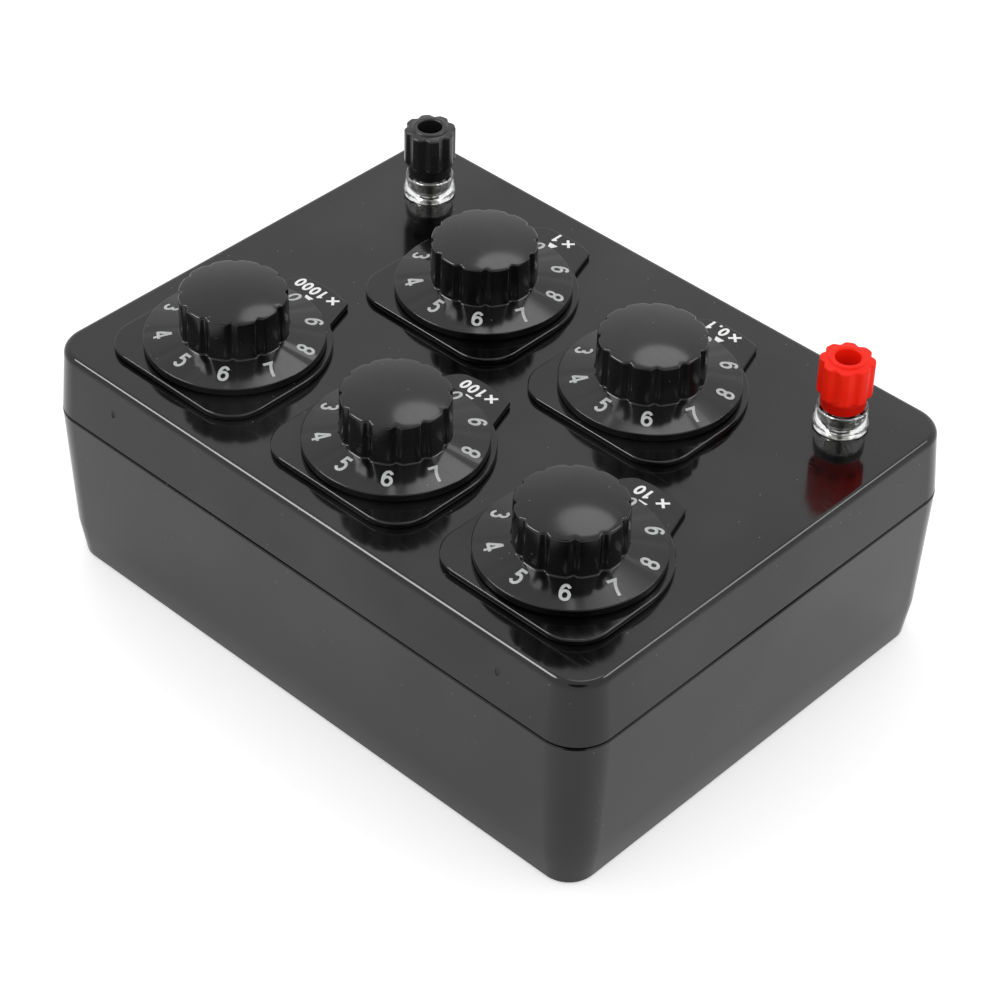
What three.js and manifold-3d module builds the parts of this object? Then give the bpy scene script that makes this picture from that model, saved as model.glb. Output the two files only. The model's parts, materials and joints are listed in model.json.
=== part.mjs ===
// Five-decade resistance box: a two-part moulded case with five numbered dial knobs on its deck
// and two screw-down binding posts. Millimetres, +Z up. The origin is at the centre of the
// case's underside, +X is the operator's right and -Y is the side that the operator faces.
import * as THREE from 'three';
import { mergeVertices } from 'three/addons/utils/BufferGeometryUtils.js';
import Module from 'manifold-3d';

const wasm = await Module();
wasm.setup();

// Clearances
const overrun = 1; // how far a cutting shape passes the face it opens
const seat = 0.1; // between faces that rest on each other
const fit = 0.3; // round a piece in its hole, and beside a piece that turns

// Case, with its outlines given as steps outward from the deck's outline
const caseLength = 180;
const caseWidth = 134.8;
const deckHeight = 65.8;
const cornerRadius = 9.5;
const deckEdge = 1.8;
const seamHeight = 47.6;
const seamGap = 0.4;
const lidFlare = 1.36;
const rimFlare = 1.45;
const bandHeight = 11.3;
const bandInset = 0.08;
const footInset = 1.75;
const lidWall = 2.5;
const baseWall = 3;
const deckThickness = 3;
const floorThickness = 3;
const tongueWall = 1.5;
const tongueRise = 2.4;
const tongueRoot = 6;

// Case screws and the bosses that they hold together
const bossInset = 10.5;
const lidBossRadius = 4;
const baseBossRadius = 6;
const baseBossHeight = 10;
const pilotDepth = 14;
const screwRadius = 1.5;
const screwLength = 20;
const headRadius = 2.9;
const headHeight = 2.2;
const headSink = 1.4;
const driveLength = 3.2;
const driveWidth = 0.8;
const driveDepth = 1.1;

// Places of the decades on the deck, whose length three index plates share
const columns = 3;
const endMargin = 9;
const plateGap = 7.8;
const plateReach = (caseLength - 2 * endMargin - (columns - 1) * plateGap) / (2 * columns);
const columnPitch = 2 * plateReach + plateGap;
const rowPitch = 60;
const farRowY = 34.7;
const decades = [
  { name: 'x10', columnShare: -1, rowShare: 0 },
  { name: 'x100', columnShare: 0, rowShare: 0 },
  { name: 'x1000', columnShare: 1, rowShare: 0 },
  { name: 'x1', columnShare: 0.5, rowShare: 1 },
  { name: 'x0_1', columnShare: -0.5, rowShare: 1 },
];
const positions = 10;
const positionStep = (2 * Math.PI) / positions;
const markAngle = -Math.PI / 2;

// Index plate under each dial; its tab carries the multiplier
const plateThickness = 1.5;
const plateFar = 24;
const plateCorner = 10;
const tabReach = 32;
const tabEndHalf = 8.8;
const tabRootHalf = 12;
const tabCorner = 3;

// Dial knob: numbered skirt and fluted grip in one hollow moulding
const skirtInset = 1.6; // from the plate's round edge
const skirtRadius = plateReach - skirtInset;
const skirtRim = 2.2;
const skirtRise = 1.7;
const skirtWall = 1.5;
const gripRadius = 13.6;
const gripTop = 18.1;
const gripDome = 1.4;
const domeShares = [0.75, 0.45, 0.1];
const gripEdge = 0.4;
const gripWall = 2.4;
const gripLobes = 12;
const fluteDepth = 0.8;
const fluteShare = 0.44;
const hubRadius = 5.5;

// Spindle, its threaded bush and the nut on it
const spindleRadius = 3;
const spindleFlat = 0.8;
const boreSlack = 0.2;
const bushRadius = 4.7;
const bushTop = 5.2;
const nutAcross = 14;
const nutHeight = 2.4;
const flangeRadius = 8;
const flangeThickness = 1.2;
const sleeveRadius = 5.2;

// Stud board, hung from the deck by the bush's sleeve
const boardDrop = 30;
const boardInset = 4.4; // from the plate's round edge
const boardRadius = plateReach - boardInset;
const boardThickness = 2.5;
const studInset = 4.5; // from the board's edge
const studCircle = boardRadius - studInset;
const studRadius = 1.7;
const studRise = 1.2;
const collectorInner = 6.5;
const collectorOuter = 9;
const stopCircle = 12;
const stopRadius = 1.2;
const stopRise = 3;
const tagReach = 3;
const tagWidth = 3;
const tagThickness = 1;

// Wiper
const wiperDisc = 9.5;
const wiperHalf = 2.2;
const wiperThickness = 0.8;
const wiperHubRadius = 5.5;
const wiperHubHeight = 4;

// Resistor bank: nine wound spools on one carrier
const spoolCount = 9;
const spoolCircle = 11.5;
const spoolRadius = 3.2;
const windingRadius = 2.7;
const cheekThickness = 0.9;
const carrierThickness = 1.6;
const carrierOuter = 15.2;
const bankHeadroom = 4; // between the carrier and the bush's flange

// Binding posts
const postEndInset = 19.9;
const postSideInset = 19.3;
const postX = caseLength / 2 - postEndInset;
const postY = postSideInset - caseWidth / 2;
const collarRadius = 6.85;
const collarFoot = 1.5;
const collarStep = 0.25;
const collarTopRadius = 6.3;
const collarHeight = 6.1;
const collarWall = 2.7;
const collarFloor = 1.3;
const studThread = 2.4;
const studReach = 12;
const shoulderRadius = 3.4;
const studUpper = 3;
const studTop = 14.4;
const plugBore = 2.05;
const plugDepth = 10;
const wireHole = 1;
const insertWall = 1.2;
const insertHeight = 7;
const capBarrel = 5.65;
const capLobed = 6.8;
const capGroove = 0.85;
const capLobes = 8;
const grooveShare = 0.66;
const lobeStart = 9.6;
const lobeSlope = 1.2;
const capTop = 20.1;
const capEdge = 0.4;
const ringRise = 0.6;
const ringRadius = 4.7;
const capHole = 3.2;
const postNutAcross = 8;
const postNutHeight = 3.2;

// Wiring
const wireRadius = 0.8;
const wireLevel = 2;
const wireDip = 5;
const lugRadius = 4.6;
const lugThickness = 0.8;
const lugTongue = 4;

// Facets
const cornerSteps = 4;
const plateSteps = 5;
const skirtSides = 36;
const hollowSides = 16;
const postSides = 16;
const boardSides = 16;
const roundSides = 12;
const smallSides = 10;
const stubSides = 6;
const wireSides = 8;
const wireSteps = 8;

// Closed geometry to solid. Faces are turned to point outward and slivers without area dropped.
function solid(geometry) {
  geometry.deleteAttribute('normal');
  geometry.deleteAttribute('uv');
  const merged = mergeVertices(geometry);
  const corners = Array.from(merged.index.array);
  const places = merged.attributes.position.array;
  const faces = [];
  let volume = 0;
  for (let i = 0; i < corners.length; i += 3) {
    const face = corners.slice(i, i + 3);
    if (new Set(face).size < 3) continue;
    faces.push(face);
    const [a, b, c] = face.map((corner) => new THREE.Vector3().fromArray(places, 3 * corner));
    volume += a.dot(b.cross(c));
  }
  if (volume < 0) faces.forEach((face) => face.reverse());
  return new wasm.Manifold(new wasm.Mesh({
    numProp: 3,
    vertProperties: new Float32Array(places),
    triVerts: new Uint32Array(faces.flat()),
  }));
}

// Cylinder or cone frustum between two heights, with its first corner on +X.
function drum(bottomRadius, topRadius, low, high, sides) {
  const geometry = new THREE.CylinderGeometry(topRadius, bottomRadius, high - low, sides);
  geometry.rotateX(Math.PI / 2);
  geometry.rotateZ(Math.PI / 2);
  geometry.translate(0, 0, (low + high) / 2);
  return solid(geometry);
}

// Block between two corners.
function block(low, high) {
  const size = high.clone().sub(low);
  const geometry = new THREE.BoxGeometry(size.x, size.y, size.z);
  const middle = low.clone().add(high).multiplyScalar(0.5);
  geometry.translate(middle.x, middle.y, middle.z);
  return solid(geometry);
}

// Profile of [radius, height] pairs turned about Z.
function turned(profile, sides) {
  const points = profile.map(([radius, height]) => new THREE.Vector2(radius, height));
  const geometry = new THREE.LatheGeometry(points, sides);
  geometry.rotateX(Math.PI / 2);
  return solid(geometry);
}

// Outline drawn by a THREE.Shape, extruded between two heights.
function prism(shape, low, high, curveSegments) {
  const geometry = new THREE.ExtrudeGeometry(shape, {
    depth: high - low,
    bevelEnabled: false,
    curveSegments,
  });
  geometry.translate(0, 0, low);
  return solid(geometry);
}

// Skin over a stack of rings with equal counts of points, closed by a fan at each end.
function loft(rings) {
  const count = rings[0].length;
  const centre = (ring) => ring
    .reduce((sum, point) => sum.add(point), new THREE.Vector3())
    .divideScalar(count);
  const points = [...rings.flat(), centre(rings[0]), centre(rings[rings.length - 1])];
  const index = [];
  for (let level = 0; level + 1 < rings.length; level += 1) {
    for (let i = 0; i < count; i += 1) {
      const a = level * count + i;
      const b = level * count + ((i + 1) % count);
      index.push(a, b, b + count, a, b + count, a + count);
    }
  }
  const foot = rings.length * count;
  const lastRing = foot - count;
  for (let i = 0; i < count; i += 1) {
    const next = (i + 1) % count;
    index.push(foot, next, i, foot + 1, lastRing + i, lastRing + next);
  }
  const geometry = new THREE.BufferGeometry().setFromPoints(points);
  geometry.setIndex(index);
  return solid(geometry);
}

function joined(solids) {
  return solids.reduce((sum, piece) => sum.add(piece));
}

function cut(body, tools) {
  return tools.reduce((rest, tool) => rest.subtract(tool), body);
}

function moved(piece, x, y, z) {
  return piece.translate([x, y, z]);
}

function spun(piece, angle) {
  return piece.rotate([0, 0, THREE.MathUtils.radToDeg(angle)]);
}

// Ring of points round a rectangle with round corners, grown outward by a flare.
function caseRing(flare, z) {
  const radius = cornerRadius + flare;
  const alongX = caseLength / 2 - cornerRadius;
  const alongY = caseWidth / 2 - cornerRadius;
  const signs = [[1, 1], [-1, 1], [-1, -1], [1, -1]];
  return signs.flatMap(([signX, signY], corner) => {
    const points = [];
    for (let step = 0; step <= cornerSteps; step += 1) {
      const angle = (corner + step / cornerSteps) * (Math.PI / 2);
      const x = signX * alongX + radius * Math.cos(angle);
      const y = signY * alongY + radius * Math.sin(angle);
      points.push(new THREE.Vector3(x, y, z));
    }
    return points;
  });
}

// Ring round an axis with lobes parted by smooth grooves.
function lobedRing(radius, grooveDepth, lobes, groove, z) {
  const stepShares = [-1, 0, 1];
  const pitch = (2 * Math.PI) / lobes;
  const points = [];
  for (let lobe = 0; lobe < lobes; lobe += 1) {
    for (const share of stepShares) {
      const angle = lobe * pitch + (share * groove * pitch) / 2;
      const reach = radius - (grooveDepth * (1 + Math.cos(Math.PI * share))) / 2;
      points.push(new THREE.Vector3(reach * Math.cos(angle), reach * Math.sin(angle), z));
    }
    const crest = (lobe + 0.5) * pitch;
    points.push(new THREE.Vector3(radius * Math.cos(crest), radius * Math.sin(crest), z));
  }
  return points;
}

// Round shaft with one flat, from which the driven piece takes its turn. The flat faces +Y.
function flatShaft(radius, flat, low, high) {
  const corner = new THREE.Vector3(-radius - overrun, radius - flat, low - overrun);
  const opposite = new THREE.Vector3(radius + overrun, radius + overrun, high + overrun);
  return cut(drum(radius, radius, low, high, roundSides), [block(corner, opposite)]);
}

function hexPrism(across, low, high) {
  return drum(across / Math.sqrt(3), across / Math.sqrt(3), low, high, 6);
}

// Tube along a path, as an extrusion of a round section.
function tube(path, radius) {
  const section = new THREE.Shape();
  for (let side = 0; side < wireSides; side += 1) {
    const angle = (2 * Math.PI * side) / wireSides;
    section[side ? 'lineTo' : 'moveTo'](radius * Math.cos(angle), radius * Math.sin(angle));
  }
  const geometry = new THREE.ExtrudeGeometry(section, {
    steps: wireSteps,
    extrudePath: path,
    bevelEnabled: false,
  });
  return solid(geometry);
}

// Materials
function finish(color, roughness, metalness, opacity = 1) {
  return () => new THREE.MeshStandardMaterial({
    color,
    roughness,
    metalness,
    opacity,
    transparent: opacity < 1,
  });
}

const blackPlastic = finish('#1c1d1e', 0.25, 0);
const redPlastic = finish('#d8231b', 0.35, 0);
const clearPlastic = finish('#e8eaea', 0.1, 0, 0.4);
const phenolic = finish('#6b4426', 0.6, 0);
const brass = finish('#b8953f', 0.35, 0.9);
const nickel = finish('#c4c6c8', 0.25, 1);
const steel = finish('#8f9396', 0.4, 1);
const copperWinding = finish('#8a5a34', 0.45, 0.6);
const wireRed = finish('#b3201a', 0.5, 0);
const wireBlack = finish('#202020', 0.5, 0);
const wireGrey = finish('#77797c', 0.5, 0);

const box = new THREE.Group();

function place(parent, name, piece, material) {
  const { numProp, vertProperties, triVerts } = piece.getMesh();
  const geometry = new THREE.BufferGeometry();
  const places = [];
  for (let i = 0; i < vertProperties.length; i += numProp) {
    places.push(vertProperties[i], vertProperties[i + 1], vertProperties[i + 2]);
  }
  geometry.setAttribute('position', new THREE.Float32BufferAttribute(places, 3));
  geometry.setIndex(Array.from(triVerts));
  geometry.computeVertexNormals();
  const mesh = new THREE.Mesh(geometry, material());
  mesh.name = name;
  parent.add(mesh);
}

// Places that several pieces share
const bossPlaces = [[1, 1], [-1, 1], [-1, -1], [1, -1]].map(([signX, signY]) => [
  signX * (caseLength / 2 - bossInset),
  signY * (caseWidth / 2 - bossInset),
]);
const decadePlaces = decades.map(({ columnShare, rowShare }) => new THREE.Vector3(
  columnShare * columnPitch,
  farRowY - rowShare * rowPitch,
  deckHeight,
));
const postPlaces = [-1, 1].map((side) => new THREE.Vector3(side * postX, postY, deckHeight));
const headTop = headSink + headHeight;
const bushHole = bushRadius + fit;
const plateTop = seat + plateThickness;
const postHole = studThread + fit;

function topCover() {
  const edgeRings = [30, 60, 90].map((degrees) => {
    const angle = THREE.MathUtils.degToRad(degrees);
    return caseRing(deckEdge * (Math.cos(angle) - 1), deckHeight + deckEdge * (Math.sin(angle) - 1));
  });
  const shell = loft([caseRing(lidFlare, seamHeight), caseRing(0, deckHeight - deckEdge), ...edgeRings]);
  const ceiling = deckHeight - deckThickness;
  const cavity = loft([
    caseRing(lidFlare - lidWall, seamHeight - overrun),
    caseRing(-lidWall, ceiling),
  ]);
  const bossBottom = baseBossHeight + seat;
  const pilot = screwRadius + fit;
  const bosses = bossPlaces.map(([x, y]) => {
    const boss = drum(lidBossRadius, lidBossRadius, bossBottom, ceiling + overrun, smallSides);
    const hole = drum(pilot, pilot, bossBottom - overrun, bossBottom + pilotDepth, smallSides);
    return moved(boss.subtract(hole), x, y, 0);
  });
  const low = ceiling - overrun;
  const high = deckHeight + overrun;
  const bushHoles = decadePlaces.map(({ x, y }) => (
    moved(drum(bushHole, bushHole, low, high, roundSides), x, y, 0)
  ));
  const postHoles = postPlaces.map(({ x, y }) => (
    moved(drum(postHole, postHole, low, high, smallSides), x, y, 0)
  ));
  return cut(joined([cut(shell, [cavity]), ...bosses]), [...bushHoles, ...postHoles]);
}

function baseCase() {
  const rimHeight = seamHeight - seamGap;
  const shell = loft([
    caseRing(-footInset, 0),
    caseRing(-bandInset, bandHeight),
    caseRing(rimFlare, rimHeight),
  ]);
  const cavity = loft([
    caseRing(-footInset - baseWall, floorThickness),
    caseRing(-bandInset - baseWall, bandHeight),
    caseRing(rimFlare - baseWall, rimHeight + overrun),
  ]);
  const tongueOuter = lidFlare - lidWall - fit;
  const tongueFoot = rimHeight - tongueRoot;
  const tongueTop = seamHeight + tongueRise;
  const tongue = loft([
    caseRing(tongueOuter, tongueFoot),
    caseRing(tongueOuter, tongueTop),
  ]).subtract(loft([
    caseRing(tongueOuter - tongueWall, tongueFoot - overrun),
    caseRing(tongueOuter - tongueWall, tongueTop + overrun),
  ]));
  const clearance = screwRadius + fit;
  const headBore = headRadius + fit;
  const bosses = bossPlaces.map(([x, y]) => (
    moved(drum(baseBossRadius, baseBossRadius, floorThickness / 2, baseBossHeight, smallSides), x, y, 0)
  ));
  const holes = bossPlaces.map(([x, y]) => moved(joined([
    drum(headBore, headBore, -overrun, headTop + seat, smallSides),
    drum(clearance, clearance, 0, baseBossHeight + overrun, smallSides),
  ]), x, y, 0));
  return cut(joined([cut(shell, [cavity]), tongue, ...bosses]), holes);
}

function caseScrew() {
  const head = drum(headRadius, headRadius, headSink, headTop, smallSides);
  const shank = drum(screwRadius, screwRadius, headTop - headHeight / 2, screwLength, smallSides);
  const slot = block(
    new THREE.Vector3(-driveLength / 2, -driveWidth / 2, 0),
    new THREE.Vector3(driveLength / 2, driveWidth / 2, headSink + driveDepth),
  );
  return cut(joined([head, shank]), [slot, spun(slot, Math.PI / 2)]);
}

// Plate outline: straight far edge with round corners, round near side with a tab.
function plateShape() {
  const shape = new THREE.Shape();
  const cornerX = plateReach - plateCorner;
  const cornerY = plateFar - plateCorner;
  const rootAngle = markAngle - Math.asin(tabRootHalf / plateReach);
  const tabSide = Math.asin(tabEndHalf / tabReach);
  const roundSide = Math.asin((tabEndHalf - tabCorner) / tabReach);
  shape.moveTo(cornerX, plateFar);
  shape.absarc(-cornerX, cornerY, plateCorner, Math.PI / 2, Math.PI, false);
  shape.absarc(0, 0, plateReach, Math.PI, 2 * Math.PI + rootAngle, false);
  shape.absarc(0, 0, tabReach, markAngle - tabSide, markAngle + roundSide, false);
  shape.quadraticCurveTo(
    tabReach * Math.cos(markAngle + tabSide),
    tabReach * Math.sin(markAngle + tabSide),
    (tabEndHalf + tabRootHalf) / 2,
    (tabReach * Math.sin(markAngle + tabSide) + plateReach * Math.sin(rootAngle)) / 2,
  );
  shape.absarc(0, 0, plateReach, Math.PI - rootAngle, 2 * Math.PI, false);
  shape.absarc(cornerX, cornerY, plateCorner, 0, Math.PI / 2, false);
  return shape;
}

function indexPlate() {
  const plate = prism(plateShape(), seat, plateTop, plateSteps);
  return cut(plate, [drum(bushHole, bushHole, 0, plateTop + overrun, roundSides)]);
}

// Heights above the deck that the dial's pieces share
const skirtBottom = plateTop + fit;
const skirtEdge = skirtBottom + skirtRim;
const skirtCrown = skirtEdge + skirtRise;
const hubBottom = bushTop + fit;
const boreTop = gripTop - gripDome - gripWall;

function dialKnob() {
  const skirt = turned([
    [0, skirtBottom],
    [skirtRadius, skirtBottom],
    [skirtRadius, skirtEdge],
    [gripRadius - fluteDepth, skirtCrown],
    [0, skirtCrown],
  ], skirtSides);
  const shoulder = gripTop - gripDome;
  const domeEdge = gripRadius - gripEdge;
  const lobed = (radius, depth, z) => lobedRing(radius, depth, gripLobes, fluteShare, z);
  const grip = spun(loft([
    lobed(gripRadius, fluteDepth, skirtEdge),
    lobed(gripRadius, fluteDepth, shoulder - gripEdge),
    lobed(domeEdge, fluteDepth, shoulder),
    ...domeShares.map((share) => lobed(domeEdge * share, 0, gripTop - gripDome * share ** 2)),
  ]), markAngle - Math.PI / gripLobes);
  const hollow = turned([
    [0, skirtBottom - overrun],
    [skirtRadius - skirtWall, skirtBottom - overrun],
    [skirtRadius - skirtWall, skirtEdge - skirtWall],
    [gripRadius - gripWall, skirtCrown - skirtWall],
    [gripRadius - gripWall, shoulder - gripWall],
    [hubRadius, shoulder - gripWall],
    [hubRadius, hubBottom],
    [0, hubBottom],
  ], hollowSides);
  const bore = flatShaft(spindleRadius + boreSlack, spindleFlat, hubBottom - overrun, boreTop);
  return cut(joined([skirt, grip]), [hollow, bore]);
}

function bushNut() {
  const top = plateTop + seat + nutHeight;
  const hole = bushRadius + boreSlack;
  return cut(hexPrism(nutAcross, plateTop + seat, top), [
    drum(hole, hole, plateTop - overrun, top + overrun, roundSides),
  ]);
}

// Heights of the faces below the deck that the board, the bank and the wiper share
const underDeck = -deckThickness - seat;
const flangeBottom = underDeck - flangeThickness;
const carrierTop = flangeBottom - bankHeadroom;
const boardTop = -boardDrop;
const boardBottom = boardTop - boardThickness;
const studFace = boardBottom - studRise;
const wiperTop = studFace - fit;
const wiperHubBottom = wiperTop - wiperThickness - wiperHubHeight;

function spindle() {
  const low = wiperHubBottom;
  const high = boreTop - seat;
  const full = drum(spindleRadius, spindleRadius, low, high, roundSides);
  const flatBox = (bottom, top) => block(
    new THREE.Vector3(-spindleRadius - overrun, spindleRadius - spindleFlat - boreSlack, bottom),
    new THREE.Vector3(spindleRadius + overrun, spindleRadius + overrun, top),
  );
  return cut(full, [
    flatBox(bushTop, high + overrun),
    flatBox(low - overrun, wiperTop),
  ]);
}

function wiper() {
  const low = wiperTop - wiperThickness;
  const disc = drum(wiperDisc, wiperDisc, low, wiperTop, roundSides);
  const tip = studCircle + studRadius;
  const arm = block(
    new THREE.Vector3(-wiperHalf, -tip, low),
    new THREE.Vector3(wiperHalf, 0, wiperTop),
  );
  const hub = drum(wiperHubRadius, wiperHubRadius, wiperHubBottom, wiperTop, roundSides);
  const bore = flatShaft(
    spindleRadius + boreSlack,
    spindleFlat,
    wiperHubBottom - overrun,
    wiperTop + overrun,
  );
  return cut(joined([disc, arm, hub]), [bore]);
}

// Board with its contact studs, collector ring, stop pin, solder tags and threaded bush.
function studBoard(tagAngles) {
  const board = drum(boardRadius, boardRadius, boardBottom, boardTop, boardSides);
  const flange = drum(flangeRadius, flangeRadius, flangeBottom, underDeck, roundSides);
  const sleeve = drum(sleeveRadius, sleeveRadius, boardBottom, underDeck, roundSides);
  const thread = drum(bushRadius, bushRadius, flangeBottom, bushTop, roundSides);
  const rooted = (boardTop + boardBottom) / 2;
  const collector = cut(drum(collectorOuter, collectorOuter, studFace, rooted, roundSides), [
    drum(collectorInner, collectorInner, studFace - overrun, boardBottom, roundSides),
  ]);
  const studs = Array.from({ length: positions }, (_, k) => {
    const stud = drum(studRadius, studRadius, studFace, rooted, stubSides);
    return spun(moved(stud, studCircle, 0, 0), markAngle - k * positionStep);
  });
  const pin = drum(stopRadius, stopRadius, boardBottom - stopRise, rooted, stubSides);
  const stop = spun(moved(pin, stopCircle, 0, 0), markAngle + positionStep / 2);
  const tags = tagAngles.map((angle) => spun(block(
    new THREE.Vector3(studCircle, -tagWidth / 2, boardTop - tagThickness),
    new THREE.Vector3(boardRadius + tagReach, tagWidth / 2, boardTop),
  ), angle));
  const bore = spindleRadius + boreSlack;
  return cut(joined([board, flange, sleeve, thread, collector, ...studs, stop, ...tags]), [
    drum(bore, bore, studFace - overrun, bushTop + overrun, roundSides),
  ]);
}

function resistorBank() {
  const foot = boardTop + seat;
  const carrierBottom = carrierTop - carrierThickness;
  const hole = sleeveRadius + fit;
  const carrier = cut(drum(carrierOuter, carrierOuter, carrierBottom, carrierTop, boardSides), [
    drum(hole, hole, carrierBottom - overrun, carrierTop + overrun, roundSides),
  ]);
  const spools = Array.from({ length: spoolCount }, (_, k) => {
    const spool = turned([
      [0, foot],
      [spoolRadius, foot],
      [spoolRadius, foot + cheekThickness],
      [windingRadius, foot + cheekThickness],
      [windingRadius, carrierTop - carrierThickness / 2],
      [0, carrierTop - carrierThickness / 2],
    ], stubSides);
    return spun(moved(spool, spoolCircle, 0, 0), markAngle - (k + 0.5) * positionStep);
  });
  return joined([carrier, ...spools]);
}

// Binding post pieces, in heights above the deck
const collarTop = seat + collarHeight;
const capBottom = collarTop + seat;
const shoulderTop = collarTop - fit;
const insertBottom = capBottom + fit;
const insertTop = insertBottom + insertHeight;
const insertInner = studUpper + boreSlack;
const insertOuter = insertInner + insertWall;
const lugBottom = underDeck - lugThickness;

function postCollar() {
  const hole = studThread + fit;
  const inner = collarTopRadius - collarWall;
  return turned([
    [hole, seat],
    [collarRadius, seat],
    [collarRadius, seat + collarFoot],
    [collarRadius - collarStep, seat + collarFoot],
    [collarTopRadius, collarTop],
    [inner, collarTop],
    [inner, seat + collarFloor],
    [hole, seat + collarFloor],
    [hole, seat],
  ], postSides);
}

function postStud() {
  const shoulderBottom = seat + collarFloor + seat;
  const bar = turned([
    [0, -studReach],
    [studThread, -studReach],
    [studThread, shoulderBottom],
    [shoulderRadius, shoulderBottom],
    [shoulderRadius, shoulderTop],
    [studUpper, shoulderTop],
    [studUpper, studTop],
    [0, studTop],
  ], postSides);
  const crossLength = studUpper + overrun;
  const cross = drum(wireHole, wireHole, -crossLength, crossLength, stubSides).rotate([90, 0, 0]);
  return cut(bar, [
    drum(plugBore, plugBore, studTop - plugDepth, studTop + overrun, smallSides),
    moved(cross, 0, 0, capBottom + wireHole),
  ]);
}

function postInsert() {
  return cut(drum(insertOuter, insertOuter, insertBottom, insertTop, postSides), [
    drum(insertInner, insertInner, insertBottom - overrun, insertTop + overrun, postSides),
  ]);
}

function postCap() {
  const lobed = (radius, z) => lobedRing(radius, capGroove, capLobes, grooveShare, z);
  const lobes = loft([
    lobed(capBarrel, lobeStart),
    lobed(capLobed, lobeStart + lobeSlope),
    lobed(capLobed, capTop - capEdge),
    lobed(capLobed - capEdge, capTop),
  ]);
  const barrel = drum(capBarrel, capBarrel, capBottom, capTop - capEdge, postSides);
  const ring = drum(ringRadius, ringRadius - capEdge, capTop - capEdge, capTop + ringRise, postSides);
  const pocket = insertOuter + boreSlack;
  return cut(joined([lobes, barrel, ring]), [
    drum(pocket, pocket, capBottom - overrun, insertTop + seat, postSides),
    drum(capHole, capHole, insertTop, capTop + ringRise + overrun, postSides),
  ]);
}

function postNut() {
  const top = lugBottom - seat;
  const hole = studThread + boreSlack;
  return cut(hexPrism(postNutAcross, top - postNutHeight, top), [
    drum(hole, hole, top - postNutHeight - overrun, top + overrun, smallSides),
  ]);
}

// Point level with a board's tags, a given reach past the tag that points along an angle.
function beyondTag(decade, angle, reach) {
  const radius = boardRadius + tagReach + reach;
  const height = boardTop - tagThickness / 2;
  const step = new THREE.Vector3(radius * Math.cos(angle), radius * Math.sin(angle), height);
  return decadePlaces[decade].clone().add(step);
}

function bearing(from, to) {
  return Math.atan2(to.y - from.y, to.x - from.x);
}

// Wire from one board's tag to the next one's, level at both ends and drooping between them.
function linkWire(from, to) {
  const angle = bearing(decadePlaces[from], decadePlaces[to]);
  const back = angle + Math.PI;
  const start = beyondTag(from, angle, fit);
  const end = beyondTag(to, back, fit);
  const middle = start.clone().add(end).multiplyScalar(0.5);
  middle.z -= wireDip;
  return tube(new THREE.CatmullRomCurve3([
    start,
    beyondTag(from, angle, fit + wireLevel),
    middle,
    beyondTag(to, back, fit + wireLevel),
    end,
  ]), wireRadius);
}

// Lead: ring lug under the post's nut with a wire from its tongue down to a tag.
function postLead(post, end) {
  const angle = bearing(post, end);
  const ring = drum(lugRadius, lugRadius, lugBottom, underDeck, roundSides);
  const tongueEnd = lugRadius + lugTongue;
  const tongue = block(
    new THREE.Vector3(0, -wireRadius, lugBottom),
    new THREE.Vector3(tongueEnd, wireRadius, underDeck),
  );
  const hole = studThread + fit;
  const lug = spun(cut(joined([ring, tongue]), [
    drum(hole, hole, lugBottom - overrun, underDeck + overrun, smallSides),
  ]), angle);
  const start = post.clone();
  start.x += (tongueEnd - wireRadius) * Math.cos(angle);
  start.y += (tongueEnd - wireRadius) * Math.sin(angle);
  start.z += lugBottom + lugThickness / 2;
  const elbow = start.clone();
  elbow.z = end.z;
  const run = tube(new THREE.QuadraticBezierCurve3(start, elbow, end), wireRadius);
  return joined([moved(lug, post.x, post.y, post.z), run]);
}

// Assembly
place(box, 'top_cover', topCover(), blackPlastic);
place(box, 'base_case', baseCase(), blackPlastic);
bossPlaces.forEach(([x, y], k) => {
  const corner = new THREE.Group();
  corner.position.set(x, y, 0);
  place(corner, `case_screw_${k + 1}`, caseScrew(), steel);
  box.add(corner);
});

// The decades are wired in series: post, x0.1, x10, x100, x1000, x1, post.
const chain = ['x0_1', 'x10', 'x100', 'x1000', 'x1'].map((name) => (
  decades.findIndex((decade) => decade.name === name)
));
const stops = [postPlaces[0], ...chain.map((k) => decadePlaces[k]), postPlaces[1]];
chain.forEach((decade, k) => {
  const here = stops[k + 1];
  const tagAngles = [bearing(here, stops[k]), bearing(here, stops[k + 2])];
  const { name } = decades[decade];
  const station = new THREE.Group();
  station.position.copy(here);
  place(station, `knob_${name}`, dialKnob(), blackPlastic);
  place(station, `index_plate_${name}`, indexPlate(), blackPlastic);
  place(station, `bush_nut_${name}`, bushNut(), nickel);
  place(station, `spindle_${name}`, spindle(), nickel);
  place(station, `wiper_${name}`, wiper(), brass);
  place(station, `stud_board_${name}`, studBoard(tagAngles), phenolic);
  place(station, `resistor_bank_${name}`, resistorBank(), copperWinding);
  box.add(station);
  if (k > 0) place(box, `link_wire_${k}`, linkWire(chain[k - 1], decade), wireGrey);
});

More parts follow.
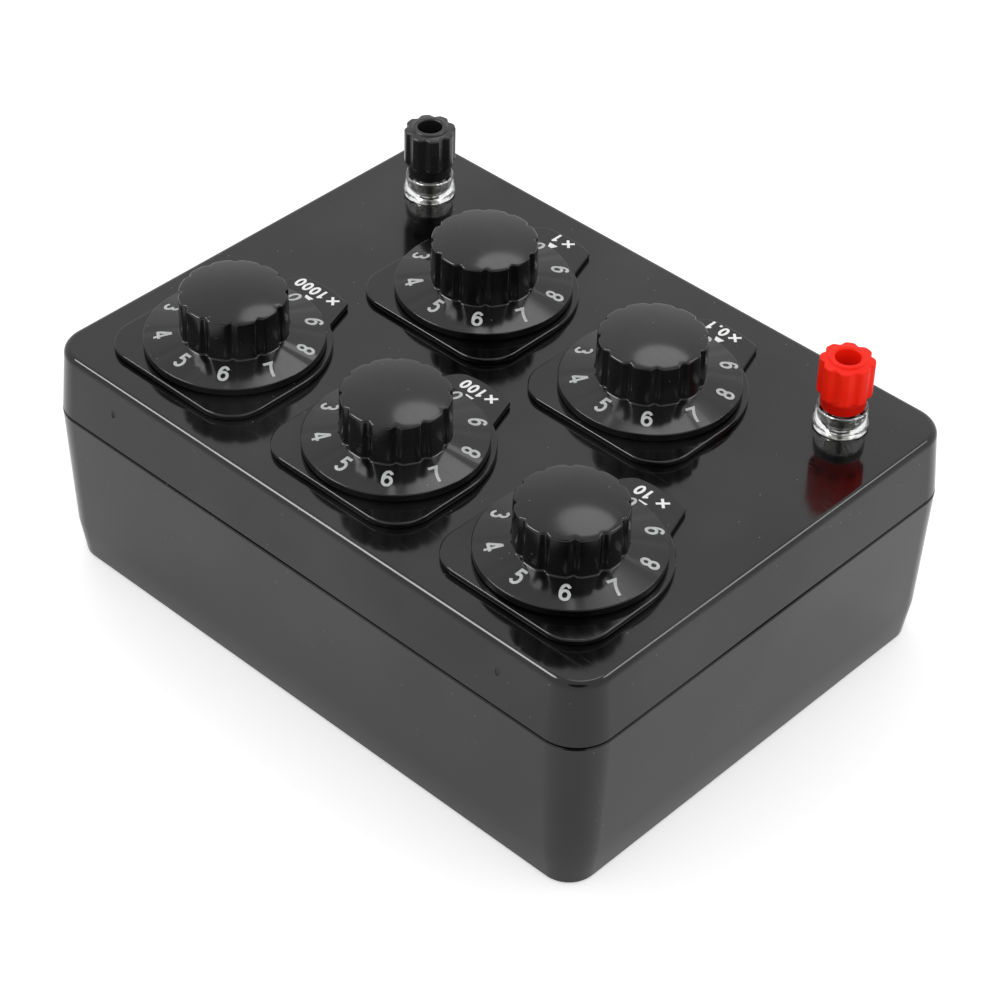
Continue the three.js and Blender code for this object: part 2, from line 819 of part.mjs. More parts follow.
const posts = [
  { colour: 'red', cap: redPlastic, lead: wireRed, decade: chain[0], capDegrees: 12 },
  { colour: 'black', cap: blackPlastic, lead: wireBlack, decade: chain.at(-1), capDegrees: 33 },
];
posts.forEach(({ colour, cap, lead, decade, capDegrees }, k) => {
  const post = new THREE.Group();
  post.position.copy(postPlaces[k]);
  place(post, `post_cap_${colour}`, spun(postCap(), THREE.MathUtils.degToRad(capDegrees)), cap);
  place(post, `post_insert_${colour}`, postInsert(), brass);
  place(post, `post_collar_${colour}`, postCollar(), clearPlastic);
  place(post, `post_stud_${colour}`, postStud(), nickel);
  place(post, `post_nut_${colour}`, postNut(), nickel);
  box.add(post);
  const end = beyondTag(decade, bearing(decadePlaces[decade], postPlaces[k]), fit);
  place(box, `post_lead_${colour}`, postLead(postPlaces[k], end), lead);
});

export default box;
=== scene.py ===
import json
import math

import bmesh
import bpy
from mathutils import Matrix, Vector


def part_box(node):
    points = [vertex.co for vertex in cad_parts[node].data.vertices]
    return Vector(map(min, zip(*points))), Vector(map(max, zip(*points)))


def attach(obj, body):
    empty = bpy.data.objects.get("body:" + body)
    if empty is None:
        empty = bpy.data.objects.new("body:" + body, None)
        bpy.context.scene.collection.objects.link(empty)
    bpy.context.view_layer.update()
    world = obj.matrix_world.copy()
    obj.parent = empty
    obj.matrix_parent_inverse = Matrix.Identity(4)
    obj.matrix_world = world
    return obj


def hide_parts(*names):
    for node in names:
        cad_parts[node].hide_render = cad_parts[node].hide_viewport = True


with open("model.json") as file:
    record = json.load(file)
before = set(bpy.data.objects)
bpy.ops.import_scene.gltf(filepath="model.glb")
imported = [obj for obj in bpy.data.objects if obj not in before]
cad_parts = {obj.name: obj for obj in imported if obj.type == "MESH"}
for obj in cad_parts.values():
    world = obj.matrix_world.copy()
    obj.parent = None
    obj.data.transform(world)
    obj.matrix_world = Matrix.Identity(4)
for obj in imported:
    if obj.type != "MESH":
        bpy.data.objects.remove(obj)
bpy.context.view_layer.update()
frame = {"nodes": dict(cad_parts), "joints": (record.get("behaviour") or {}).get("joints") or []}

# Decade resistance box in metres. The operator looks along +Y, and the floor is at zero.
MM = 0.001
QUARTER = math.pi / 2
DOWN = -QUARTER  # plan angle of the index marks, towards the operator
SHARP_ANGLE = math.radians(32)
DIALS = ("x10", "x100", "x1000", "x1", "x0_1")
POSTS = ("red", "black")

# Case, heights from the floor
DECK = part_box("top_cover")[1].z
SEAM = 47.6 * MM
CORNER_RADIUS = 9.5 * MM
LID_FLARE = 1.36 * MM
RIM_FLARE = 1.45 * MM
HALF_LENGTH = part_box("top_cover")[1].x - LID_FLARE
HALF_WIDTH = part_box("top_cover")[1].y - LID_FLARE
BASE_RIM = SEAM - 0.4 * MM
DECK_EDGE = 1.8 * MM
EDGE_ROUND = 0.3 * MM
RIM_RELIEF = 0.01 * MM
SEAM_OPENING = 0.28 * MM  # at the middle of the left side
LEFT_OPENING = (-4 * MM, 26 * MM)  # middle and reach along the side
FAR_OPENING = (10 * MM, 34 * MM)
FAR_OPENING_SHARE = 0.6
FOOT_ROUND = 0.8 * MM
FOOT_ROUND_SHARE = 0.3
BAND_HEIGHT = 11.3 * MM
BAND_INSET = 0.08 * MM
FOOT_INSET = 1.75 * MM
LID_WALL = 2.5 * MM
BASE_WALL = 3 * MM
DECK_THICKNESS = 3 * MM
FLOOR_THICKNESS = 3 * MM
TONGUE_WALL = 1.5 * MM
TONGUE_RISE = 2.4 * MM
TONGUE_ROOT = 6 * MM
TONGUE_GAP = 0.3 * MM
BOSS_INSET = 10.5 * MM
LID_BOSS_RADIUS = 4 * MM
BASE_BOSS_RADIUS = 6 * MM
BASE_BOSS_HEIGHT = 10 * MM
BOSS_GAP = 0.1 * MM
PILOT_RADIUS = 1.8 * MM
PILOT_DEPTH = 14 * MM
HEAD_BORE = 3.2 * MM
HEAD_BORE_DEPTH = 3.7 * MM
BUSH_HOLE = 5 * MM
POST_HOLE = 2.7 * MM
GATE_X = 65.3 * MM
GATE_HEIGHT = 57.6 * MM
GATE_HALF_WIDTH = 0.65 * MM
GATE_HALF_HEIGHT = 1.2 * MM
GATE_DEPTH = 0.35 * MM
OVERRUN = 1 * MM

# Index plates, heights from the deck
PLATE_REACH = 24.4 * MM
PLATE_BOTTOM = 0.1 * MM
PLATE_TOP = 1.6 * MM
PLATE_FAR = 24 * MM
PLATE_CORNER = 10 * MM
PLATE_ROUND = 0.4 * MM
TAB_REACH = 32 * MM
TAB_END_HALF = 8.8 * MM
TAB_ROOT_HALF = 12 * MM
TAB_CORNER = 3 * MM
MERGE_REACH = 0.01 * MM

# Dial knobs, heights from the deck
SKIRT_RADIUS = 22.8 * MM
SKIRT_BOTTOM = 1.9 * MM
SKIRT_EDGE = 4.1 * MM
SKIRT_CROWN = 5.8 * MM
SKIRT_ROUND = 0.3 * MM
SKIRT_ROUND_END = 1.35  # angle at which the edge's round meets the slope, in radians
SKIRT_WALL = 1.5 * MM
GRIP_FOOT_RADIUS = 13.75 * MM
GRIP_RADIUS = 13.6 * MM
GRIP_TOP = 18.1 * MM
GRIP_DOME = 1.4 * MM
GRIP_ROUND = 0.45 * MM
GRIP_FILLET = 0.35 * MM
GRIP_WALL = 2.4 * MM
GRIP_LOBES = 12
FLUTE_DEPTH = 0.8 * MM
FLUTE_SHARE = 0.44
HUB_RADIUS = 5.5 * MM
HUB_BOTTOM = 5.5 * MM
SPINDLE_BORE = 3.2 * MM
SPINDLE_BORE_TOP = 14.3 * MM

# Print: digits on the dials, multipliers and marks on the plates
DIGIT_COUNT = 10
DIGIT_RADIUS = 18.9 * MM
DIGIT_SHIFT = 1.3 * MM  # the printed ring sits towards its zero
DIGIT_HEIGHT = 4.75 * MM
DIGIT_PEN = 0.76 * MM
RUN_SHARE = 0.15  # longest step of a straight pen stretch, as a share of the height
ARC_DEGREES = 12
LABEL_HEIGHT = 3.5 * MM
LABEL_PEN = 0.72 * MM
LABEL_PITCH = 2.65 * MM
LABEL_Y = -28.6 * MM
POINT_PITCH = 1.45 * MM
CROSS_HEIGHT = 2.9 * MM
CROSS_DROP = 0.1 * MM
INK_RISE = 0.03 * MM
INK_SINK = 0.05 * MM
INK_LAP = 0.012 * MM
MARK_NEAR = 24.3 * MM
MARK_FAR = 25.9 * MM
MARK_NEAR_HALF = 0.65 * MM
MARK_FAR_HALF = 1.35 * MM

# Multipliers: text, middles of the cross and the first digit, shift of the print
LABELS = {
    "x10": ("10", -3.64 * MM, 0.85 * MM, Vector((-0.18, 0.6)) * MM),
    "x100": ("100", -4.46 * MM, -1.2 * MM, Vector((-0.27, 0.55)) * MM),
    "x1000": ("1000", -5.45 * MM, -1.75 * MM, Vector((0.18, 0)) * MM),
    "x1": ("1", -2.54 * MM, 1.3 * MM, Vector((0.27, -0.85)) * MM),
    "x0_1": ("0.1", -2.45 * MM, 1.1 * MM, Vector((-0.1, -0.7)) * MM),
}

# Binding posts, heights from the deck
COLLAR_RADIUS = 6.85 * MM
COLLAR_BOTTOM = 0.1 * MM
COLLAR_FOOT = 1.6 * MM
COLLAR_STEP = 0.25 * MM
COLLAR_TOP_RADIUS = 6.3 * MM
COLLAR_TOP = 6.2 * MM
COLLAR_WALL = 2.7 * MM
COLLAR_LIP = 0.4 * MM
COLLAR_FLOOR = 1.4 * MM
COLLAR_HOLE = 2.7 * MM
COLLAR_ROUND = 0.25 * MM
STUD_RADIUS = 2.4 * MM
STUD_REACH = 12 * MM
SHOULDER_RADIUS = 3.4 * MM
SHOULDER_BOTTOM = 1.5 * MM
SHOULDER_TOP = 5.9 * MM
STUD_UPPER = 3 * MM
STUD_TOP = 14.4 * MM
STUD_ROUND = 0.25 * MM
PLUG_BORE = 2.05 * MM
PLUG_DEPTH = 10 * MM
WIRE_HOLE = 1 * MM
INSERT_INNER = 3.2 * MM
INSERT_OUTER = 4.4 * MM
INSERT_BOTTOM = 6.6 * MM
INSERT_TOP = 13.6 * MM
CAP_BOTTOM = 6.3 * MM
CAP_BARREL = 5.65 * MM
CAP_LOBED = 6.8 * MM
CAP_GROOVE = 0.85 * MM
CAP_LOBES = 8
CAP_TURNS = {"red": math.radians(12), "black": math.radians(33)}
CAP_GROOVE_SHARE = 0.7
CAP_LOBE_START = 9.4 * MM
CAP_LOBE_RISE = 1.5 * MM
CAP_TOP = 20.1 * MM
CAP_ROUND = 0.55 * MM
CAP_RING_RADIUS = 4.7 * MM
CAP_RING_TOP = 20.7 * MM
CAP_RING_ROUND = 0.45 * MM
CAP_HOLE = 3.2 * MM
CAP_POCKET = 4.6 * MM
CAP_POCKET_TOP = 13.7 * MM

# Case screws, heights from the floor
SCREW_HEAD_RADIUS = 2.9 * MM
SCREW_HEAD_LOW = 1.4 * MM
SCREW_HEAD_HIGH = 3.6 * MM
SCREW_HEAD_ROUND = 0.6 * MM
SCREW_RADIUS = 1.5 * MM
SCREW_TOP = 20 * MM
DRIVE_HALF_LENGTH = 1.6 * MM
DRIVE_HALF_WIDTH = 0.4 * MM
DRIVE_DEPTH = 1.1 * MM

# Steps round circles, outlines and rounded edges
CORNER_STEPS = 14
SIDE_STEPS = 10
DECK_EDGE_STEPS = 10
PLATE_CORNER_STEPS = 20
PLATE_SIDE_STEPS = 24
TAB_END_STEPS = 16
TAB_CORNER_STEPS = 8
DIAL_STEPS = 240
CROWN_STEPS = 12
FILLET_STEPS = 5
POST_STEPS = 128
SWELL_STEPS = 14
HOLLOW_STEPS = 96
FINE_STEPS = 64
DRUM_STEPS = 48
WIRE_HOLE_STEPS = 32
ROUND_STEPS = 6
SMALL_ROUND_STEPS = 4
BEVEL_SEGMENTS = 3
GATE_SUBDIVISIONS = 3

# Camera, at the photograph's viewing angle
VIEW_AZIMUTH = math.radians(222.4356)
VIEW_ELEVATION = math.radians(40.1813)
VIEW_ROLL = math.radians(1.625)
VIEW_DISTANCE = 755.669 * MM
VIEW_TARGET = Vector((-10.5586, 8.735, 40)) * MM
LENS = 109.467
SENSOR = 36


def joint_place(name):
    """Where a joint's axis stands on the deck."""
    joint = next(j for j in frame["joints"] if j["name"] == name)
    x, y, _ = joint["pos_m"]
    return Vector((x, y, DECK))


def dial_place(dial):
    return joint_place(f"dial_{dial}_turn")


def post_place(post):
    return joint_place(f"post_{post}_unscrew")


def node_place(node):
    """Middle of a node in plan, on the floor."""
    low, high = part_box(node)
    return Vector(((low.x + high.x) / 2, (low.y + high.y) / 2, 0))


def turn(radius, angle, height):
    """Point at a plan angle, a radius away from the axis."""
    return Vector((radius * math.cos(angle), radius * math.sin(angle), height))


def arc(centre, radius, start, end, steps):
    """Points in a plane along an arc, as (across, height) pairs."""
    angles = [start + (end - start) * step / steps for step in range(steps + 1)]
    return [(centre[0] + radius * math.cos(a), centre[1] + radius * math.sin(a)) for a in angles]


def round_ring(radius, height, steps):
    if radius == 0:
        return [Vector((0, 0, height))]
    return [turn(radius, math.tau * step / steps, height) for step in range(steps)]


def lathe(profile, steps):
    """Rings of a turned shape, from its profile of (radius, height) pairs."""
    return [round_ring(radius, height, steps) for radius, height in profile]


def stitch(mesh, low, high):
    """Faces between two rings; one of them may be a single point."""
    for i in range(max(len(low), len(high))):
        places = ((low, i), (low, i + 1), (high, i + 1), (high, i))
        corners = [ring[place % len(ring)] for ring, place in places]
        mesh.faces.new(list(dict.fromkeys(corners)))


def skin(rings, closed=False):
    """Mesh over a stack of rings, capped at both ends, or closed on itself like a tyre."""
    mesh = bmesh.new()
    loops = [[mesh.verts.new(point) for point in ring] for ring in rings]
    for low, high in zip(loops, loops[1:]):
        stitch(mesh, low, high)
    if closed:
        stitch(mesh, loops[-1], loops[0])
    else:
        for end in (loops[0], loops[-1]):
            if len(end) > 2:
                mesh.faces.new(end)
    bmesh.ops.recalc_face_normals(mesh, faces=mesh.faces)
    return mesh


def show(name, data):
    """Object in the scene with a mesh, lamp or camera."""
    obj = bpy.data.objects.new(name, data)
    bpy.context.scene.collection.objects.link(obj)
    return obj


def link(name, mesh, place=Vector((0, 0, 0))):
    """Object with a bmesh's faces, moved to its place."""
    bmesh.ops.translate(mesh, verts=mesh.verts, vec=place)
    data = bpy.data.meshes.new(name)
    mesh.to_mesh(data)
    mesh.free()
    return show(name, data)


def bake(obj):
    """Replaces the object's mesh by what its modifiers make."""
    graph = bpy.context.evaluated_depsgraph_get()
    data = bpy.data.meshes.new_from_object(obj.evaluated_get(graph))
    obj.modifiers.clear()
    obj.data = data


def combine(obj, tools, operation):
    """Cuts the tools from the object, or joins them to it, and removes them."""
    for tool in tools:
        boolean = obj.modifiers.new("boolean", "BOOLEAN")
        boolean.operation = operation
        boolean.solver = "EXACT"
        boolean.object = tool
    bake(obj)
    for tool in tools:
        bpy.data.objects.remove(tool)
    return obj


def cut(obj, *tools):
    return combine(obj, tools, "DIFFERENCE")


def join(obj, *tools):
    return combine(obj, tools, "UNION")


def drum(radius, low, high, place, steps=DRUM_STEPS):
    """Plain cylinder from one height to another, to cut or to join."""
    return link("tool", skin(lathe([(radius, low), (radius, high)], steps)), place)


def bevel(obj, width):
    modifier = obj.modifiers.new("bevel", "BEVEL")
    modifier.width = width
    modifier.segments = BEVEL_SEGMENTS
    modifier.limit_method = "ANGLE"
    modifier.angle_limit = SHARP_ANGLE
    bake(obj)


def shade(obj):
    """Smooth shading, crisp at hard edges and flat on large faces."""
    data = obj.data
    data.polygons.foreach_set("use_smooth", [True] * len(data.polygons))
    data.set_sharp_from_angle(angle=SHARP_ANGLE)
    weighted = obj.modifiers.new("weighted", "WEIGHTED_NORMAL")
    weighted.keep_sharp = True


def dress(obj, body, material, slot=None, node=None):
    """Gives a finished shape its body and its finish, and hides the CAD node that it stands for."""
    obj.data.materials.clear()
    obj.data.materials.append(material)
    shade(obj)
    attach(obj, body)
    if slot:
        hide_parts(node)


def feed(tree, socket, value):
    """Sets a socket to a value, or links it to another node's output."""
    if isinstance(value, bpy.types.NodeSocket):
        tree.links.new(value, socket)
    else:
        socket.default_value = value


def feed_in_turn(tree, sockets, *values):
    """Feeds the first of some sockets, one value to each."""
    for socket, value in zip(sockets, values):
        feed(tree, socket, value)


def feed_all(tree, node, values):
    """Feeds a node's sockets by name, with _ for a space."""
    for name, value in values.items():
        feed(tree, node.inputs[name.replace("_", " ")], value)


def add_node(tree, kind, **values):
    node = tree.nodes.new("ShaderNode" + kind)
    feed_all(tree, node, values)
    return node


def maths(tree, operation, first, second, kind="Math"):
    """Result of a math node over two values or outputs."""
    node = add_node(tree, kind)
    node.operation = operation
    feed_in_turn(tree, node.inputs, first, second)
    return node.outputs["Value"]


def reach_along(tree, place, direction):
    """How far a place lies along a direction."""
    return maths(tree, "DOT_PRODUCT", place, direction, kind="VectorMath")


class Finish:
    """A material's node tree, with short calls for the nodes that the finishes share."""

    def __init__(self, name):
        self.material = bpy.data.materials.new(name)
        self.material.use_nodes = True
        self.tree = self.material.node_tree
        self.place = self.add("TexCoord").outputs["Object"]

    def add(self, kind, **values):
        return add_node(self.tree, kind, **values)

    def set(self, **values):
        feed_all(self.tree, self.tree.nodes["Principled BSDF"], values)
        return self

    def stretched(self, scale):
        return self.add("Mapping", Scale=scale, Vector=self.place).outputs["Vector"]

    def upward(self):
        """How far the surface faces up, from one on top to zero on a wall."""
        normal = self.add("TexCoord").outputs["Normal"]
        return self.add("SeparateXYZ", Vector=normal).outputs["Z"]

    def along(self, direction):
        return reach_along(self.tree, self.place, direction)

    def noise(self, scale, detail=3, place=None):
        """Cloudy noise in the part's coordinates, or in stretched ones."""
        vector = place or self.place
        return self.add("TexNoise", Scale=scale, Detail=detail, Vector=vector).outputs["Fac"]

    def ranged(self, source, from_low, from_high, to_low=0, to_high=1):
        """Stretches the values between two limits to two new ones, and cuts off the rest."""
        limits = {"From_Min": from_low, "From_Max": from_high, "To_Min": to_low, "To_Max": to_high}
        return self.add("MapRange", Value=source, **limits).outputs["Result"]

    def maths(self, operation, first, second):
        return maths(self.tree, operation, first, second)

    def blend(self, share, first, second):
        """Colour between two colours or outputs, by a share."""
        node = self.add("Mix", Factor=share)
        node.data_type = "RGBA"
        colours = [socket for socket in node.inputs if socket.type == "RGBA"]
        feed_in_turn(self.tree, colours, first, second)
        return next(socket for socket in node.outputs if socket.type == "RGBA")

    def mottled(self, scale, detail, smooth, dull):
        """Roughness in fine patches, from smooth to dull."""
        noise = self.noise(scale, detail)
        self.set(Roughness=self.ranged(noise, NOISE_LOW, NOISE_HIGH, smooth, dull))

    def bump(self, height, distance, before=None, share=1):
        """Bump on top of an earlier one, in full or by a share that varies."""
        node = self.add("Bump", Strength=share, Distance=distance, Height=height)
        if before:
            feed(self.tree, node.inputs["Normal"], before)
        self.set(Normal=node.outputs["Normal"])
        return node.outputs["Normal"]


def rgb(red, green, blue):
    return (red, green, blue, 1)


def grey(level):
    return rgb(level, level, level)


# Finishes
NOISE_LOW = 0.3  # most of a noise texture's values lie between these
NOISE_HIGH = 0.7
BARE_BLACK = rgb(0.0018, 0.0019, 0.002)
PALE_FILM = rgb(0.015, 0.0152, 0.0155)
DUST_COLOUR = rgb(0.17, 0.17, 0.165)
DOT_CORE_SHARE = 0.6
SCRATCH_STRETCH = (70, 1500, 400)
TURNED_STRETCH = (300, 300, 6000)
DRAWN_STRETCH = (2500, 2500, 400)
FIBRE_STRETCH = (300, 2200, 2200)
DECK_SAG = (Vector((-0.67, 0.74, 0)), 0.042, 0.35)  # direction of the rise, slope and growth


def specks(finish, scale, size, share):
    """Mask of tiny dots scattered over a surface, in a share of its cells."""
    cells = finish.add("TexVoronoi", Scale=scale, Vector=finish.place)
    split = finish.add("SeparateColor", Color=cells.outputs["Color"])
    chosen = finish.maths("LESS_THAN", split.outputs["Red"], share)
    dot = finish.ranged(cells.outputs["Distance"], size, size * DOT_CORE_SHARE)
    return finish.maths("MULTIPLY", dot, chosen)


def sagged(finish, before, direction, slope, growth):
    """Bump that tilts level faces by a slope, which grows in the direction of the rise."""
    along = finish.along(direction)
    steepness = finish.maths("ADD", finish.maths("MULTIPLY", along, growth / 2), slope)
    level = finish.ranged(finish.upward(), 0.9, 0.99)
    return finish.bump(finish.maths("MULTIPLY", along, steepness), 1, before, level)


def moulded_black(name, smooth, dull, wave, grain, side_haze=0, sag=None):
    """Glossy black moulding with film, haze, scratches, dust and a slight wave.
    Its upright faces can be hazier, and its level ones can sag."""
    finish = Finish(name).set(IOR=1.46)
    dust = specks(finish, scale=420, size=0.08, share=0.2)
    film = finish.ranged(finish.noise(24, detail=5), 0.42, 0.72)
    tone = finish.blend(film, BARE_BLACK, PALE_FILM)
    finish.set(Base_Color=finish.blend(dust, tone, DUST_COLOUR))
    haze = finish.ranged(finish.noise(55, detail=5), 0.4, 0.75, smooth, dull)
    scratches = finish.noise(1, detail=2, place=finish.stretched(SCRATCH_STRETCH))
    rough = finish.maths("ADD", haze, finish.ranged(scratches, 0.66, 0.72, to_high=0.12))
    if side_haze:
        upright = finish.ranged(finish.upward(), 0.6, 0.1, to_high=side_haze)
        rough = finish.maths("ADD", rough, upright)
    finish.set(Roughness=rough)
    shape = finish.bump(finish.noise(45, detail=2), wave)
    if sag:
        shape = sagged(finish, shape, *sag)
    finish.bump(finish.noise(2600, detail=2), grain, shape)
    return finish.material


def coloured_cap(name, barrel, deep, bright, gloss, smooth):
    """Moulded cap with patchy lobes, painted shade on its barrel below the lobes, and a satin grain."""
    finish = Finish(name).set(IOR=1.45, Specular_IOR_Level=gloss)
    patchy = finish.ranged(finish.noise(160), NOISE_LOW, NOISE_HIGH)
    patches = finish.blend(patchy, deep, bright)
    height = finish.along(Vector((0, 0, 1)))
    foot = DECK + CAP_LOBE_START
    out_of_barrel_shade = finish.ranged(height, foot - CAP_ROUND, foot + CAP_ROUND)
    # Painted shade: below the lobes the cap takes the darker barrel colour.
    finish.set(Base_Color=finish.blend(out_of_barrel_shade, barrel, patches))
    finish.mottled(700, 4, smooth, smooth + 0.12)
    finish.bump(finish.noise(3200), 0.012 * MM)
    return finish.material


def clear_plastic():
    """Clear moulding with faint clouds and ripples."""
    finish = Finish("clear_plastic").set(IOR=1.49, Transmission_Weight=1.0)
    clouds = finish.noise(300, detail=2)
    finish.set(Base_Color=finish.blend(clouds, rgb(0.93, 0.94, 0.94), rgb(0.985, 0.99, 0.99)))
    finish.mottled(900, 3, smooth=0.02, dull=0.09)
    finish.bump(finish.noise(500, detail=2), 0.02 * MM)
    return finish.material


def metal(name, base, worn, smooth, lines):
    """Turned or drawn metal with fine tool lines and a little tarnish."""
    finish = Finish(name).set(Metallic=1.0)
    tarnish = finish.ranged(finish.noise(240, detail=4), 0.35, 0.7)
    finish.set(Base_Color=finish.blend(tarnish, base, worn))
    finish.mottled(1400, 3, smooth, smooth + 0.15)
    finish.bump(finish.noise(1, detail=2, place=finish.stretched(lines)), 0.01 * MM)
    return finish.material


def phenolic():
    """Brown laminate board with a paper fibre."""
    finish = Finish("board_phenolic").set(IOR=1.5)
    fibre = finish.noise(1, detail=4, place=finish.stretched(FIBRE_STRETCH))
    finish.set(Base_Color=finish.blend(fibre, rgb(0.09, 0.035, 0.014), rgb(0.2, 0.09, 0.036)))
    finish.set(Roughness=finish.ranged(fibre, NOISE_LOW, NOISE_HIGH, 0.35, 0.6))
    finish.bump(fibre, 0.02 * MM)
    return finish.material


def winding():
    """Spools wound with fine enamelled wire: rings of wire up each spool."""
    finish = Finish("winding").set(IOR=1.5)
    wave = finish.add("TexWave", Scale=900, Distortion=0.4, Vector=finish.place)
    wave.bands_direction = "Z"
    turns = wave.outputs["Fac"]
    finish.set(Base_Color=finish.blend(turns, rgb(0.07, 0.022, 0.008), rgb(0.36, 0.14, 0.05)))
    finish.mottled(800, 3, smooth=0.25, dull=0.4)
    finish.bump(turns, 0.05 * MM)
    return finish.material


def lead(name, deep, bright):
    """Wire insulation with slight print and handling marks."""
    finish = Finish(name).set(IOR=1.5)
    finish.set(Base_Color=finish.blend(finish.noise(500, detail=4), deep, bright))
    finish.mottled(900, 3, smooth=0.35, dull=0.55)
    finish.bump(finish.noise(2000, detail=2), 0.02 * MM)
    return finish.material


def ink(name, thin, full):
    """Print on the dials and plates: pale, slightly uneven and matt."""
    finish = Finish(name).set(IOR=1.5)
    cover = finish.ranged(finish.noise(900, detail=4), NOISE_LOW, 0.65)
    finish.set(Base_Color=finish.blend(cover, thin, full))
    finish.mottled(1600, 3, smooth=0.45, dull=0.65)
    finish.bump(finish.noise(3000, detail=2), 0.006 * MM)
    return finish.material


CASE_BLACK = moulded_black(
    "case_plastic", smooth=0.06, dull=0.16, wave=0.01 * MM, grain=0.0012 * MM, sag=DECK_SAG,
)
KNOB_BLACK = moulded_black(
    "knob_plastic", smooth=0.12, dull=0.2, wave=0.006 * MM, grain=0.001 * MM, side_haze=0.06,
)
PLATE_BLACK = moulded_black(
    "plate_plastic", smooth=0.06, dull=0.16, wave=0.006 * MM, grain=0.001 * MM,
)
# Each cap's barrel colour is painted shade: its lobe colour darkened for the shade under the lobes.
RED = coloured_cap(
    "red_plastic", barrel=rgb(0.61, 0.006, 0.001), deep=rgb(0.95, 0.014, 0.004),
    bright=rgb(1, 0.024, 0.007), gloss=0.14, smooth=0.3,
)
CAP_BLACK = coloured_cap(
    "black_cap_plastic", barrel=grey(0.01), deep=grey(0.012), bright=grey(0.018),
    gloss=0.5, smooth=0.17,
)
CLEAR = clear_plastic()
NICKEL = metal("nickel", rgb(0.7, 0.69, 0.66), rgb(0.5, 0.49, 0.46), 0.12, TURNED_STRETCH)
BRASS = metal("brass", rgb(0.75, 0.52, 0.2), rgb(0.5, 0.32, 0.12), 0.22, TURNED_STRETCH)
STEEL = metal("screw_steel", rgb(0.42, 0.43, 0.45), rgb(0.25, 0.25, 0.26), 0.28, DRAWN_STRETCH)
DIGIT_INK = ink("digit_ink", rgb(0.47, 0.48, 0.48), rgb(0.58, 0.59, 0.59))
LABEL_INK = ink("label_ink", rgb(0.88, 0.89, 0.88), grey(0.96))


def case_ring(flare, height):
    """Points round the case's outline, grown by a flare. The height may depend on the place."""
    radius = CORNER_RADIUS + flare
    along_x = HALF_LENGTH - CORNER_RADIUS
    along_y = HALF_WIDTH - CORNER_RADIUS
    signs = ((1, 1), (-1, 1), (-1, -1), (1, -1))
    corners = []
    for quarter, (sign_x, sign_y) in enumerate(signs):
        centre = Vector((sign_x * along_x, sign_y * along_y, 0))
        angles = [(quarter + step / CORNER_STEPS) * QUARTER for step in range(CORNER_STEPS + 1)]
        corners.append([centre + turn(radius, angle, 0) for angle in angles])
    points = []
    for here, after in zip(corners, corners[1:] + corners[:1]):
        points += here
        for step in range(1, SIDE_STEPS):
            points.append(here[-1].lerp(after[0], step / SIDE_STEPS))
    for point in points:
        point.z = height(point) if callable(height) else height
    return points


def case_form(name, *places):
    """Solid over rings of the case, from their pairs of flare and height."""
    return link(name, skin([case_ring(flare, height) for flare, height in places]))


def swelling(place, middle, reach):
    """One at the middle of a stretch, and less to both sides."""
    return math.exp(-(((place - middle) / reach) ** 2))


def seam_edge(point):
    """Lower edge of the lid, which stands a little open at two sides."""
    left = swelling(point.y, *LEFT_OPENING) if point.x < -HALF_LENGTH else 0
    far = swelling(point.x, *FAR_OPENING) if point.y > HALF_WIDTH else 0
    return SEAM + SEAM_OPENING * (left + FAR_OPENING_SHARE * far)


def boss_places():
    x = HALF_LENGTH - BOSS_INSET
    y = HALF_WIDTH - BOSS_INSET
    return [Vector((sign_x * x, sign_y * y, 0)) for sign_x in (-1, 1) for sign_y in (-1, 1)]


def gate_mark(side):
    """Small upright oval that leaves a moulding gate's scar in the lid's far wall."""
    mesh = bmesh.new()
    bmesh.ops.create_icosphere(mesh, subdivisions=GATE_SUBDIVISIONS, radius=1)
    bmesh.ops.scale(mesh, verts=mesh.verts, vec=(GATE_HALF_WIDTH, GATE_DEPTH, GATE_HALF_HEIGHT))
    share = (DECK - DECK_EDGE - GATE_HEIGHT) / (DECK - DECK_EDGE - SEAM)
    return link("tool", mesh, Vector((side * GATE_X, HALF_WIDTH + LID_FLARE * share, GATE_HEIGHT)))


def lid():
    """Hollow lid with its deck, screw bosses and holes."""
    round_over = [
        (across - DECK_EDGE, DECK - DECK_EDGE + rise)
        for across, rise in arc((0, 0), DECK_EDGE, 0, QUARTER, DECK_EDGE_STEPS)
    ]
    shell = case_form(
        "lid",
        (LID_FLARE - EDGE_ROUND, seam_edge),
        (LID_FLARE, lambda point: seam_edge(point) + EDGE_ROUND),
        *round_over,
    )
    ceiling = DECK - DECK_THICKNESS
    cavity = case_form("tool", (LID_FLARE - LID_WALL, SEAM - OVERRUN), (-LID_WALL, ceiling))
    cut(shell, cavity, gate_mark(-1), gate_mark(1))
    low = BASE_BOSS_HEIGHT + BOSS_GAP
    corners = boss_places()
    bosses = [drum(LID_BOSS_RADIUS, low, ceiling + OVERRUN, place) for place in corners]
    join(shell, *bosses)
    pilots = [drum(PILOT_RADIUS, low - OVERRUN, low + PILOT_DEPTH, place) for place in corners]
    bushes = [drum(BUSH_HOLE, -2 * DECK_THICKNESS, OVERRUN, dial_place(dial)) for dial in DIALS]
    studs = [drum(POST_HOLE, -2 * DECK_THICKNESS, OVERRUN, post_place(post)) for post in POSTS]
    return cut(shell, *pilots, *bushes, *studs)


